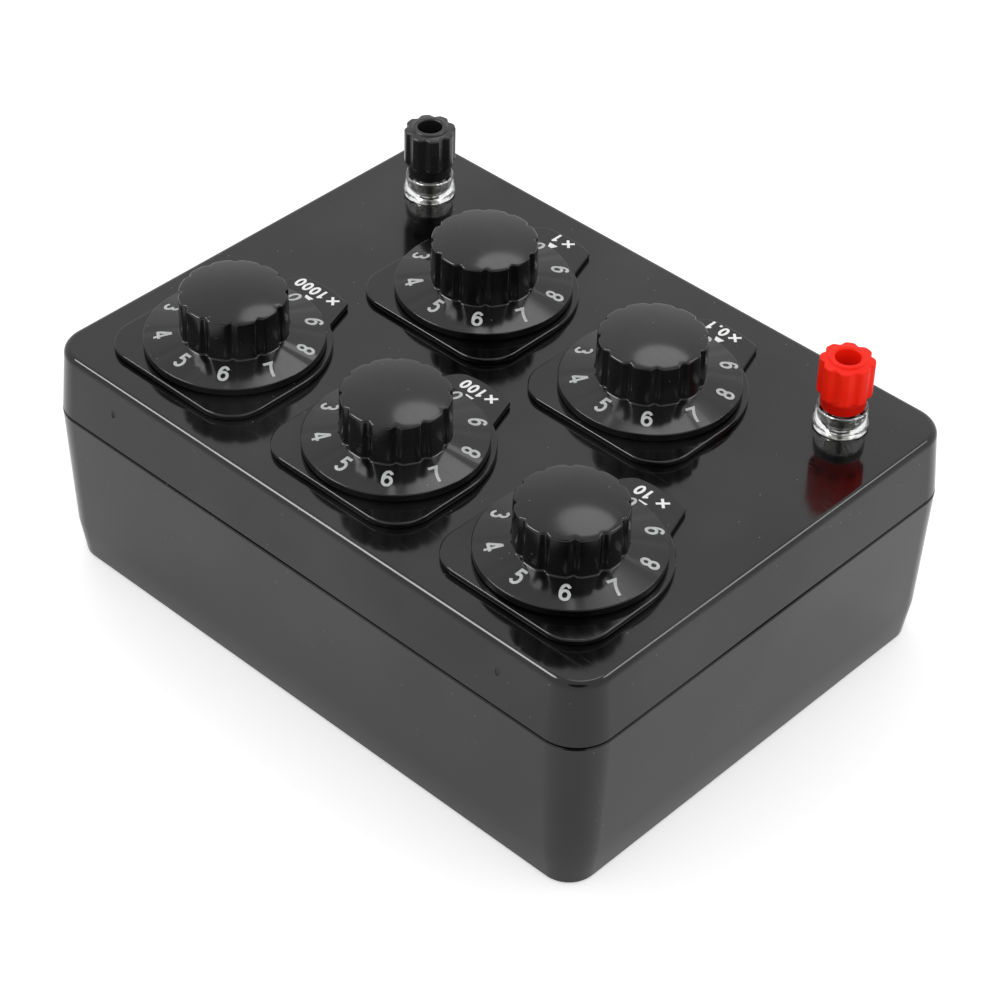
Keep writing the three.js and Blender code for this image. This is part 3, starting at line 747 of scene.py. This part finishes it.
def base():
    """Hollow base with a tongue inside the seam, screw bosses and wells."""
    shell = case_form(
        "base",
        (-FOOT_INSET - FOOT_ROUND, 0),
        (-FOOT_INSET - FOOT_ROUND * FOOT_ROUND_SHARE, FOOT_ROUND * FOOT_ROUND_SHARE),
        (-FOOT_INSET * (1 - FOOT_ROUND / BAND_HEIGHT), FOOT_ROUND),
        (-BAND_INSET, BAND_HEIGHT),
        (RIM_FLARE - RIM_RELIEF, BASE_RIM - EDGE_ROUND),
        (RIM_FLARE - EDGE_ROUND, BASE_RIM),
    )
    cavity = case_form(
        "tool",
        (-FOOT_INSET - BASE_WALL, FLOOR_THICKNESS),
        (-BAND_INSET - BASE_WALL, BAND_HEIGHT),
        (RIM_FLARE - BASE_WALL, BASE_RIM + OVERRUN),
    )
    cut(shell, cavity)
    outer = LID_FLARE - LID_WALL - TONGUE_GAP
    foot = BASE_RIM - TONGUE_ROOT
    top = SEAM + TONGUE_RISE
    tongue = case_form("tool", (outer, foot), (outer, top))
    inner = outer - TONGUE_WALL
    hollow = case_form("tool", (inner, foot - OVERRUN), (inner, top + OVERRUN))
    cut(tongue, hollow)
    root = FLOOR_THICKNESS / 2
    corners = boss_places()
    bosses = [drum(BASE_BOSS_RADIUS, root, BASE_BOSS_HEIGHT, place) for place in corners]
    join(shell, tongue, *bosses)
    heads = [drum(HEAD_BORE, -OVERRUN, HEAD_BORE_DEPTH, place) for place in corners]
    shanks = [drum(PILOT_RADIUS, 0, BASE_BOSS_HEIGHT + OVERRUN, place) for place in corners]
    return cut(shell, *heads, *shanks)


def plate_outline():
    """Plan of an index plate, with a straight far edge, a round near side and a tab."""
    corner_x = PLATE_REACH - PLATE_CORNER
    corner_y = PLATE_FAR - PLATE_CORNER
    root = math.asin(TAB_ROOT_HALF / PLATE_REACH)
    tab = math.asin(TAB_END_HALF / TAB_REACH)
    tab_round = math.asin((TAB_END_HALF - TAB_CORNER) / TAB_REACH)
    points = arc((corner_x, corner_y), PLATE_CORNER, 0, QUARTER, PLATE_CORNER_STEPS)
    points += arc((-corner_x, corner_y), PLATE_CORNER, QUARTER, math.pi, PLATE_CORNER_STEPS)
    points += arc((0, 0), PLATE_REACH, math.pi, math.tau + DOWN - root, PLATE_SIDE_STEPS)
    points += arc((0, 0), TAB_REACH, DOWN - tab, DOWN + tab_round, TAB_END_STEPS)
    start = Vector(points[-1])
    knee = Vector(turn(TAB_REACH, DOWN + tab, 0).xy)
    end = (knee + Vector(turn(PLATE_REACH, DOWN + root, 0).xy)) / 2
    for step in range(1, TAB_CORNER_STEPS):
        share = step / TAB_CORNER_STEPS
        points.append(tuple(start.lerp(knee, share).lerp(knee.lerp(end, share), share)))
    points.append(tuple(end))
    points += arc((0, 0), PLATE_REACH, DOWN + root, 0, PLATE_SIDE_STEPS)
    return points


def tidy_loop(points):
    """Drops points of an outline that fall on the one before."""
    kept = []
    for point in points:
        if not kept or math.dist(point, kept[-1]) > MERGE_REACH:
            kept.append(point)
    if math.dist(kept[0], kept[-1]) < MERGE_REACH:
        kept.pop()
    return kept


def index_plate(name, place):
    """Flat plate under a dial, with its edges rounded and a hole for the bush."""
    outline = tidy_loop(plate_outline())
    rings = [[Vector((x, y, height)) for x, y in outline] for height in (PLATE_BOTTOM, PLATE_TOP)]
    plate = link(name, skin(rings), place)
    bevel(plate, PLATE_ROUND)
    return cut(plate, drum(BUSH_HOLE, 0, PLATE_TOP + OVERRUN, place, FINE_STEPS))


def lobed(radius, groove, lobes, share, first, height, steps):
    """Ring with smooth grooves between its lobes; the first groove is at a plan angle."""
    points = []
    for step in range(steps):
        angle = math.tau * step / steps
        from_groove = ((angle - first) * lobes / math.tau + 0.5) % 1 - 0.5
        across = min(1, abs(from_groove) / (share / 2))
        points.append(turn(radius - groove * (1 + math.cos(math.pi * across)) / 2, angle, height))
    return points


def grip_ring(radius, height):
    """Ring of the grip's flutes, with one of its lobes at the index mark."""
    first = DOWN + math.pi / GRIP_LOBES
    return lobed(radius, FLUTE_DEPTH, GRIP_LOBES, FLUTE_SHARE, first, height, DIAL_STEPS)


def on_dome(ring, scale=1, drop=0):
    """Ring shrunk in plan and laid on the grip's dome, or a little below it."""
    points = []
    for point in ring:
        plan = point.xy * scale
        share = plan.length / GRIP_RADIUS
        points.append(Vector((plan.x, plan.y, GRIP_TOP - GRIP_DOME * share ** 2 - drop)))
    return points


def knob_rings():
    """Outer surface of a dial, from its skirt's underside to its grip's crown."""
    edge = (SKIRT_RADIUS - SKIRT_ROUND, SKIRT_EDGE - SKIRT_ROUND)
    skirt = lathe([
        (SKIRT_RADIUS - SKIRT_WALL, SKIRT_BOTTOM),
        (SKIRT_RADIUS - SKIRT_ROUND, SKIRT_BOTTOM),
        (SKIRT_RADIUS, SKIRT_BOTTOM + SKIRT_ROUND),
        *arc(edge, SKIRT_ROUND, 0, SKIRT_ROUND_END, ROUND_STEPS),
    ], DIAL_STEPS)
    slope = (SKIRT_CROWN - SKIRT_EDGE) / (SKIRT_RADIUS - GRIP_FOOT_RADIUS)
    reach = GRIP_FOOT_RADIUS + GRIP_FILLET
    middle = (reach, SKIRT_CROWN + GRIP_FILLET)
    fillet = arc(middle, GRIP_FILLET, -QUARTER, -math.pi, FILLET_STEPS)
    foot = [grip_ring(reach, SKIRT_CROWN - slope * GRIP_FILLET)]
    foot += [grip_ring(across, height) for across, height in fillet[1:]]
    inner = GRIP_RADIUS - GRIP_ROUND
    shoulder = [
        on_dome(grip_ring(across, 0), drop=GRIP_ROUND - rise)
        for across, rise in arc((inner, 0), GRIP_ROUND, 0, QUARTER, ROUND_STEPS)
    ]
    scales = [1 - step / CROWN_STEPS for step in range(1, CROWN_STEPS)]
    crown = [on_dome(grip_ring(inner, 0), scale) for scale in scales]
    return [*skirt, *foot, *shoulder, *crown, [Vector((0, 0, GRIP_TOP))]]


def knob_hollow():
    """Space under a dial, round the hub in its middle."""
    low = SKIRT_BOTTOM - OVERRUN
    rim = SKIRT_RADIUS - SKIRT_WALL
    ceiling = GRIP_TOP - GRIP_DOME - GRIP_WALL
    inner = GRIP_RADIUS - GRIP_WALL
    return lathe([
        (0, low),
        (rim, low),
        (rim, SKIRT_EDGE - SKIRT_WALL),
        (inner, SKIRT_CROWN - SKIRT_WALL),
        (inner, ceiling),
        (HUB_RADIUS, ceiling),
        (HUB_RADIUS, HUB_BOTTOM),
        (0, HUB_BOTTOM),
    ], HOLLOW_STEPS)


def knob(name, place):
    body = link(name, skin(knob_rings()), place)
    hollow = link("tool", skin(knob_hollow()), place)
    return cut(body, hollow, drum(SPINDLE_BORE, HUB_BOTTOM - OVERRUN, SPINDLE_BORE_TOP, place))


def skirt_height(radius):
    """Height of a skirt's slope at a distance from the dial's axis."""
    share = (SKIRT_RADIUS - radius) / (SKIRT_RADIUS - GRIP_FOOT_RADIUS)
    return SKIRT_EDGE + (SKIRT_CROWN - SKIRT_EDGE) * share


def run(*corners):
    """Pen path along straight stretches, with enough points to lie on a curved surface."""
    path = [corners[0]]
    for start, end in zip(corners, corners[1:]):
        steps = math.ceil(math.dist(start, end) / RUN_SHARE)
        for step in range(1, steps + 1):
            share = step / steps
            path.append(tuple(a + (b - a) * share for a, b in zip(start, end)))
    return path


def oval(x, y, across, tall, start, end):
    """Pen path along an oval from one angle to another, in degrees."""
    steps = math.ceil(abs(end - start) / ARC_DEGREES)
    angles = [math.radians(start + (end - start) * step / steps) for step in range(steps + 1)]
    return [(x + across * math.cos(angle), y + tall * math.sin(angle)) for angle in angles]


def upside_down(paths):
    return [[(-x, -y) for x, y in path] for path in paths]


# Pen paths in a box one unit high, centred on the origin
SIX = [
    oval(0, -0.16, 0.215, 0.26, 0, 360),
    [*oval(0.02, 0, 0.235, 0.42, 38, 180), (-0.215, -0.08), (-0.213, -0.16)],
]
PATHS = {
    "0": [oval(0, 0, 0.22, 0.42, 0, 360)],
    "1": [run((0.06, -0.5), (0.06, 0.5)), run((0.06, 0.4), (-0.03, 0.29), (-0.18, 0.24))],
    "2": [[*oval(0, 0.2, 0.21, 0.22, 165, -35), *run((0.12, 0.02), (-0.2, -0.42), (0.24, -0.42))]],
    "3": [oval(-0.01, 0.21, 0.19, 0.21, 155, -88), oval(0, -0.19, 0.22, 0.23, 90, -155)],
    "4": [
        run((0.08, -0.5), (0.08, 0.48)),
        run((0.05, 0.44), (-0.27, -0.2)),
        run((-0.34, -0.23), (0.27, -0.23)),
    ],
    "5": [run((0.21, 0.42), (-0.13, 0.42), (-0.17, 0.02)), oval(0, -0.14, 0.215, 0.28, 138, -152)],
    "6": SIX,
    "7": [[*run((-0.25, 0.42), (0.2, 0.42)), (0.1, 0.24), (0.01, 0.02), (-0.05, -0.24), (-0.07, -0.5)]],
    "8": [oval(0, 0.21, 0.185, 0.21, 0, 360), oval(0, -0.2, 0.215, 0.22, 0, 360)],
    "9": upside_down(SIX),
    "×": [run((-0.415, -0.415), (0.415, 0.415)), run((-0.415, 0.415), (0.415, -0.415))],
    ".": [run((0, -0.5), (0, -0.3))],
}


def stroke(mesh, path, half, lap, settle):
    """Adds a solid ribbon along a pen path, closed where the path ends at its start."""
    points = [Vector(point) for point in path]
    closed = (points[0] - points[-1]).length < half / 10
    if closed:
        points.pop()
    last = len(points) - 1
    rings = []
    for i, point in enumerate(points):
        before = points[i - 1] if closed or i > 0 else 2 * point - points[1]
        after = points[(i + 1) % len(points)] if closed or i < last else 2 * point - points[i - 1]
        ahead = (after - point).normalized()
        along = (ahead + (point - before).normalized()).normalized()
        side = Vector((-along.y, along.x)) * half / along.dot(ahead)
        left, right = point + side, point - side
        top = INK_RISE + lap
        corners = ((left, top), (right, top), (right, -INK_SINK), (left, -INK_SINK))
        rings.append([mesh.verts.new(settle(place, lift)) for place, lift in corners])
    for low, high in zip(rings, rings[1:]):
        stitch(mesh, low, high)
    if closed:
        stitch(mesh, rings[-1], rings[0])
    else:
        mesh.faces.new(rings[0])
        mesh.faces.new(rings[-1])


def write(mesh, character, height, pen, settle):
    """Adds a character to a mesh, with its points laid on a surface by a function."""
    for lap, path in enumerate(PATHS[character]):
        stroke(mesh, [(x * height, y * height) for x, y in path], pen / 2, lap * INK_LAP, settle)


def printed(name, mesh, place):
    bmesh.ops.recalc_face_normals(mesh, faces=mesh.faces)
    return link(name, mesh, place)


def on_skirt(angle):
    """Function that lays a digit's point on the skirt, its top towards the dial's axis."""
    turned = Matrix.Rotation(angle, 2)

    def settle(point, lift):
        flat = turned @ Vector((DIGIT_RADIUS - point.y, point.x)) - Vector((0, DIGIT_SHIFT))
        return Vector((flat.x, flat.y, skirt_height(flat.length) + lift))

    return settle


def on_plate(x, y):
    """Function that lays a character's point on a plate."""
    return lambda point, lift: Vector((x + point.x, y + point.y, PLATE_TOP + lift))


def dial_digits(name, place):
    """Ten digits round a skirt, falling clockwise from 0 at the index mark."""
    mesh = bmesh.new()
    for digit in range(DIGIT_COUNT):
        settle = on_skirt(DOWN + math.tau * digit / DIGIT_COUNT)
        write(mesh, str(digit), DIGIT_HEIGHT, DIGIT_PEN, settle)
    return printed(name, mesh, place)


def multiplier(name, dial, place):
    """Cross and digits on a plate's tab. A point takes less room than a digit."""
    text, cross_x, x, off = LABELS[dial]
    mesh = bmesh.new()
    y = LABEL_Y + off.y
    write(mesh, "×", CROSS_HEIGHT, LABEL_PEN, on_plate(cross_x + off.x, y - CROSS_DROP))
    for character in text:
        if character == ".":
            x += (POINT_PITCH - LABEL_PITCH) / 2
        write(mesh, character, LABEL_HEIGHT, LABEL_PEN, on_plate(x + off.x, y))
        x += (POINT_PITCH + LABEL_PITCH) / 2 if character == "." else LABEL_PITCH
    return printed(name, mesh, place)


def index_mark(name, dial, place):
    """Bar on the tab that points at the dial, narrower towards it."""
    *_, off = LABELS[dial]
    corners = (
        (-MARK_NEAR_HALF, -MARK_NEAR),
        (-MARK_FAR_HALF, -MARK_FAR),
        (MARK_FAR_HALF, -MARK_FAR),
        (MARK_NEAR_HALF, -MARK_NEAR),
    )
    heights = (PLATE_TOP - INK_SINK, PLATE_TOP + INK_RISE)
    rings = [[Vector((off.x + x, off.y + y, height)) for x, y in corners] for height in heights]
    return link(name, skin(rings), place)


def outside(ring, radius):
    """Ring with its points moved out to a radius where they lie nearer the axis."""
    points = []
    for point in ring:
        scale = max(1, radius / point.xy.length)
        points.append(Vector((point.x * scale, point.y * scale, point.z)))
    return points


def cap_ring(turned, radius, height):
    """Ring of a cap's lobes, with its first groove at a plan angle."""
    return lobed(radius, CAP_GROOVE, CAP_LOBES, CAP_GROOVE_SHARE, turned, height, POST_STEPS)


def cap_swell(turned):
    """Rings that grow from a cap's barrel to its full lobes."""
    start = CAP_BARREL - EDGE_ROUND
    rings = []
    for step in range(SWELL_STEPS + 1):
        share = step / SWELL_STEPS * QUARTER
        radius = start + (CAP_LOBED - start) * math.sin(share)
        height = CAP_LOBE_START + CAP_LOBE_RISE * (1 - math.cos(share))
        rings.append(outside(cap_ring(turned, radius, height), CAP_BARREL))
    return rings


def cap(name, turned, place):
    """Screw cap: a plain barrel, lobes above it and a ring round the plug hole."""
    foot_middle = (CAP_BARREL - CAP_ROUND, CAP_BOTTOM + CAP_ROUND)
    foot = arc(foot_middle, CAP_ROUND, -QUARTER, 0, SMALL_ROUND_STEPS)
    shoulder_middle = (CAP_LOBED - CAP_ROUND, CAP_TOP - CAP_ROUND)
    shoulder = arc(shoulder_middle, CAP_ROUND, 0, QUARTER, ROUND_STEPS)
    ring_middle = (CAP_RING_RADIUS - CAP_RING_ROUND, CAP_RING_TOP - CAP_RING_ROUND)
    hole_middle = (CAP_HOLE + CAP_RING_ROUND, CAP_RING_TOP - CAP_RING_ROUND)
    inside = [
        (CAP_RING_RADIUS + EDGE_ROUND, CAP_TOP),
        *arc(ring_middle, CAP_RING_ROUND, 0, QUARTER, ROUND_STEPS),
        *arc(hole_middle, CAP_RING_ROUND, QUARTER, math.pi, ROUND_STEPS),
        (CAP_HOLE, CAP_POCKET_TOP),
        (CAP_POCKET, CAP_POCKET_TOP),
        (CAP_POCKET, CAP_BOTTOM),
    ]
    rings = [
        *lathe(foot, POST_STEPS),
        *cap_swell(turned),
        *[cap_ring(turned, across, height) for across, height in shoulder],
        *lathe(inside, POST_STEPS),
    ]
    return link(name, skin(rings, closed=True), place)


def collar(name, place):
    """Clear ring round a post's metal, stepped outside and with a floor inside."""
    inner = COLLAR_TOP_RADIUS - COLLAR_WALL
    foot_middle = (COLLAR_RADIUS - COLLAR_ROUND, COLLAR_FOOT - COLLAR_ROUND)
    lip_middle = (COLLAR_TOP_RADIUS - COLLAR_LIP, COLLAR_TOP - COLLAR_LIP)
    profile = [
        (COLLAR_HOLE, COLLAR_BOTTOM),
        (COLLAR_RADIUS - COLLAR_ROUND, COLLAR_BOTTOM),
        (COLLAR_RADIUS, COLLAR_BOTTOM + COLLAR_ROUND),
        *arc(foot_middle, COLLAR_ROUND, 0, QUARTER, SMALL_ROUND_STEPS),
        (COLLAR_RADIUS - COLLAR_STEP - COLLAR_ROUND / 2, COLLAR_FOOT + COLLAR_ROUND / 2),
        *arc(lip_middle, COLLAR_LIP, 0, QUARTER, ROUND_STEPS),
        (inner, COLLAR_TOP),
        (inner, COLLAR_FLOOR + COLLAR_ROUND),
        (inner - COLLAR_ROUND, COLLAR_FLOOR),
        (COLLAR_HOLE, COLLAR_FLOOR),
    ]
    return link(name, skin(lathe(profile, HOLLOW_STEPS), closed=True), place)


def post_stud(name, place):
    """Metal stud with a shoulder, the plug's bore from above and a cross hole for a wire."""
    stud = link(name, skin(lathe([
        (0, -STUD_REACH),
        (STUD_RADIUS - STUD_ROUND, -STUD_REACH),
        (STUD_RADIUS, STUD_ROUND - STUD_REACH),
        (STUD_RADIUS, SHOULDER_BOTTOM),
        (SHOULDER_RADIUS - STUD_ROUND, SHOULDER_BOTTOM),
        (SHOULDER_RADIUS, SHOULDER_BOTTOM + STUD_ROUND),
        (SHOULDER_RADIUS, SHOULDER_TOP - STUD_ROUND),
        (SHOULDER_RADIUS - STUD_ROUND, SHOULDER_TOP),
        (STUD_UPPER, SHOULDER_TOP),
        (STUD_UPPER, STUD_TOP - STUD_ROUND),
        (STUD_UPPER - STUD_ROUND, STUD_TOP),
        (0, STUD_TOP),
    ], FINE_STEPS)), place)
    bore = drum(PLUG_BORE, STUD_TOP - PLUG_DEPTH, STUD_TOP + OVERRUN, place)
    length = STUD_UPPER + OVERRUN
    across = skin(lathe([(WIRE_HOLE, -length), (WIRE_HOLE, length)], WIRE_HOLE_STEPS))
    bmesh.ops.rotate(across, verts=across.verts, matrix=Matrix.Rotation(QUARTER, 3, "X"))
    hole = link("tool", across, place + Vector((0, 0, CAP_BOTTOM + WIRE_HOLE)))
    return cut(stud, bore, hole)


def post_insert(name, place):
    """Brass ring that the cap turns round."""
    profile = [
        (INSERT_INNER, INSERT_BOTTOM),
        (INSERT_OUTER, INSERT_BOTTOM),
        (INSERT_OUTER, INSERT_TOP),
        (INSERT_INNER, INSERT_TOP),
    ]
    return link(name, skin(lathe(profile, FINE_STEPS), closed=True), place)


def case_screw(name, place):
    """Screw from below with a cross recess in its head."""
    head = SCREW_HEAD_RADIUS - SCREW_HEAD_ROUND
    middle = (head, SCREW_HEAD_LOW + SCREW_HEAD_ROUND)
    screw = link(name, skin(lathe([
        (0, SCREW_HEAD_LOW),
        (head, SCREW_HEAD_LOW),
        *arc(middle, SCREW_HEAD_ROUND, -QUARTER, 0, ROUND_STEPS),
        (SCREW_HEAD_RADIUS, SCREW_HEAD_HIGH),
        (SCREW_RADIUS, SCREW_HEAD_HIGH),
        (SCREW_RADIUS, SCREW_TOP - SCREW_RADIUS),
        (0, SCREW_TOP),
    ], DRUM_STEPS)), place)
    slot = (DRIVE_HALF_LENGTH, DRIVE_HALF_WIDTH)
    tools = []
    for across, along in (slot, reversed(slot)):
        mesh = bmesh.new()
        bmesh.ops.create_cube(mesh, size=2)
        bmesh.ops.scale(mesh, verts=mesh.verts, vec=(across, along, DRIVE_DEPTH))
        tools.append(link("tool", mesh, place + Vector((0, 0, SCREW_HEAD_LOW))))
    return cut(screw, *tools)


def build_case():
    dress(lid(), "case", CASE_BLACK, "case_plastic", "top_cover")
    dress(base(), "case", CASE_BLACK, "case_plastic", "base_case")
    nodes = [node for node in frame["nodes"] if node.startswith("case_screw")]
    for node in sorted(nodes):
        screw = case_screw(node.replace("case_", "cover_"), node_place(node))
        dress(screw, "case", STEEL, "screw_steel", node)


def build_dials():
    for dial in DIALS:
        place = dial_place(dial)
        body = f"dial_{dial}"
        dress(knob(f"grip_{dial}", place), body, KNOB_BLACK, "knob_plastic", f"knob_{dial}")
        dress(dial_digits(f"digits_{dial}", place), body, DIGIT_INK)
        plate = index_plate(f"plate_{dial}", place)
        dress(plate, "case", PLATE_BLACK, "plate_plastic", f"index_plate_{dial}")
        dress(multiplier(f"multiplier_{dial}", dial, place), "case", LABEL_INK)
        dress(index_mark(f"mark_{dial}", dial, place), "case", LABEL_INK)


def build_posts():
    for post, plastic, slot in (("red", RED, "red_plastic"), ("black", CAP_BLACK, "black_cap_plastic")):
        place = post_place(post)
        screw_cap = cap(f"screw_cap_{post}", CAP_TURNS[post], place)
        dress(screw_cap, f"cap_{post}", plastic, slot, f"post_cap_{post}")
        thread = post_insert(f"thread_{post}", place)
        dress(thread, f"insert_{post}", BRASS, "brass", f"post_insert_{post}")
        ring = collar(f"collar_{post}", place)
        dress(ring, "case", CLEAR, "clear_plastic", f"post_collar_{post}")
        stud = post_stud(f"plug_stud_{post}", place)
        dress(stud, "case", NICKEL, "nickel", f"post_stud_{post}")


def paint(node, material):
    """Puts a material in all of a CAD node's slots."""
    slots = node.data.materials
    if not slots:
        slots.append(material)
    for index in range(len(slots)):
        slots[index] = material


def finish_inner_parts():
    """Materials of the CAD nodes that stay, by how their names start."""
    finishes = {
        "bush_nut": NICKEL,
        "spindle": NICKEL,
        "post_nut": NICKEL,
        "wiper": BRASS,
        "stud_board": phenolic(),
        "resistor_bank": winding(),
        "link_wire": lead("lead_grey", rgb(0.14, 0.14, 0.145), rgb(0.22, 0.22, 0.225)),
        "post_lead_red": lead("lead_red", rgb(0.4, 0.015, 0.01), rgb(0.55, 0.03, 0.02)),
        "post_lead_black": lead("lead_black", grey(0.01), grey(0.025)),
    }
    for name, node in frame["nodes"].items():
        for start, material in finishes.items():
            if name.startswith(start):
                paint(node, material)


# Stage
FLOOR_HALF = 8
FLOOR_DROP = 0.05 * MM
FLOOR_TONE = 0.84
FLOOR_GLOW = 0.44  # to the camera
FLOOR_GLINT = 0.28  # in reflections and through clear pieces
SKY_LEVEL = 0.94
DARK_LEVEL = 0.12
DARK_INNER = math.radians(14)
DARK_OUTER = math.radians(24)
LAMP_REACH = 2.5

# Lamps: name, direction, half angle, radiance, whether it lights dull surfaces
LAMPS = (
    ("key_lamp", Vector((0.5, -0.24, 0.8321)), math.radians(9), 2.2, True),
    ("top_lamp", Vector((0.297, -0.4844, 0.8231)), math.radians(9), 2.3, False),
    ("left_lamp", Vector((0.5155, 0.277, 0.811)), math.radians(11.5), 12, False),
    ("right_lamp", Vector((-0.301, -0.564, 0.769)), math.radians(9), 6, False),
)


def view_back():
    """Direction from the box to the camera."""
    level = math.cos(VIEW_ELEVATION)
    across = math.sin(VIEW_AZIMUTH) * level
    return Vector((across, -math.cos(VIEW_AZIMUTH) * level, math.sin(VIEW_ELEVATION)))


def make_camera():
    """Camera at the photograph's angle, distance and roll."""
    back = view_back()
    level = turn(1, VIEW_AZIMUTH, 0)
    upward = back.cross(level)
    right = level * math.cos(VIEW_ROLL) + upward * math.sin(VIEW_ROLL)
    up = upward * math.cos(VIEW_ROLL) - level * math.sin(VIEW_ROLL)
    data = bpy.data.cameras.new("camera")
    data.lens = LENS
    data.sensor_width = SENSOR
    camera = show("camera", data)
    turned = Matrix((right, up, back)).transposed().to_4x4()
    camera.matrix_world = Matrix.Translation(VIEW_TARGET + back * VIEW_DISTANCE) @ turned
    bpy.context.scene.camera = camera


def camera_ray(tree):
    return add_node(tree, "LightPath").outputs["Is Camera Ray"]


def seen_ray(tree):
    """One for camera, glossy and transmission rays, and zero for the rest."""
    path = add_node(tree, "LightPath")
    total = path.outputs["Is Camera Ray"]
    for output in ("Is Glossy Ray", "Is Transmission Ray"):
        total = maths(tree, "MAXIMUM", total, path.outputs[output])
    return total


def mix_shaders(tree, share, first, second):
    """Shader between two nodes' shaders, by a share."""
    mix = add_node(tree, "MixShader", Fac=share)
    feed_in_turn(tree, mix.inputs[1:], first.outputs[0], second.outputs[0])
    return mix.outputs["Shader"]


def open_side(tree):
    """Zero in the part of the sky where the camera stands, and one around it."""
    place = add_node(tree, "TexCoord").outputs["Generated"]
    toward = reach_along(tree, place, view_back())
    limits = {"From_Min": math.cos(DARK_INNER), "From_Max": math.cos(DARK_OUTER)}
    return add_node(tree, "MapRange", Value=toward, **limits).outputs["Result"]


def make_world():
    """Even sky, white to the camera and dark in reflections where the camera stands."""
    world = bpy.data.worlds.new("studio")
    world.use_nodes = True
    tree = world.node_tree
    tree.nodes.clear()
    around = maths(tree, "MAXIMUM", open_side(tree), DARK_LEVEL)
    strength = maths(tree, "MAXIMUM", camera_ray(tree), around)
    lit = add_node(tree, "Background", Color=grey(1), Strength=SKY_LEVEL)
    seen = add_node(tree, "Background", Color=grey(1), Strength=strength)
    add_node(tree, "OutputWorld", Surface=mix_shaders(tree, seen_ray(tree), lit, seen))
    bpy.context.scene.world = world


def make_floor():
    """Pale floor with a glow, fainter in reflections, and clear from below."""
    mesh = bmesh.new()
    bmesh.ops.create_grid(mesh, x_segments=1, y_segments=1, size=FLOOR_HALF)
    floor = link("floor", mesh, Vector((0, 0, -FLOOR_DROP)))
    material = bpy.data.materials.new("floor")
    material.use_nodes = True
    tree = material.node_tree
    dull = tree.nodes["Principled BSDF"]
    feed_all(tree, dull, {"Base_Color": grey(FLOOR_TONE), "Roughness": 1, "Specular_IOR_Level": 0})
    glow = maths(tree, "MULTIPLY", camera_ray(tree), FLOOR_GLOW)
    glint = maths(tree, "MULTIPLY", seen_ray(tree), FLOOR_GLINT)
    white = add_node(tree, "Emission", Strength=maths(tree, "MAXIMUM", glow, glint))
    front = add_node(tree, "AddShader")
    feed_in_turn(tree, front.inputs, dull.outputs[0], white.outputs[0])
    backface = add_node(tree, "NewGeometry").outputs["Backfacing"]
    sides = mix_shaders(tree, backface, front, add_node(tree, "BsdfTransparent"))
    feed(tree, tree.nodes["Material Output"].inputs["Surface"], sides)
    floor.data.materials.append(material)


def make_lamp(name, direction, half_angle, radiance, lights_dull):
    """Round lamp in the sky that only dull surfaces see, or only glossy and clear ones."""
    radius = LAMP_REACH * math.tan(half_angle)
    data = bpy.data.lights.new(name, "AREA")
    data.shape = "DISK"
    data.size = 2 * radius
    data.energy = radiance * math.pi * math.pi * radius ** 2
    lamp = show(name, data)
    lamp.location = VIEW_TARGET + direction * LAMP_REACH
    lamp.rotation_mode = "QUATERNION"
    lamp.rotation_quaternion = (-direction).to_track_quat("-Z", "Y")
    lamp.visible_diffuse = lights_dull
    lamp.visible_glossy = not lights_dull
    lamp.visible_transmission = not lights_dull


make_camera()
make_world()
make_floor()
for lamp_values in LAMPS:
    make_lamp(*lamp_values)
build_case()
build_dials()
build_posts()
finish_inner_parts()
bpy.context.scene.view_settings.view_transform = "Standard"
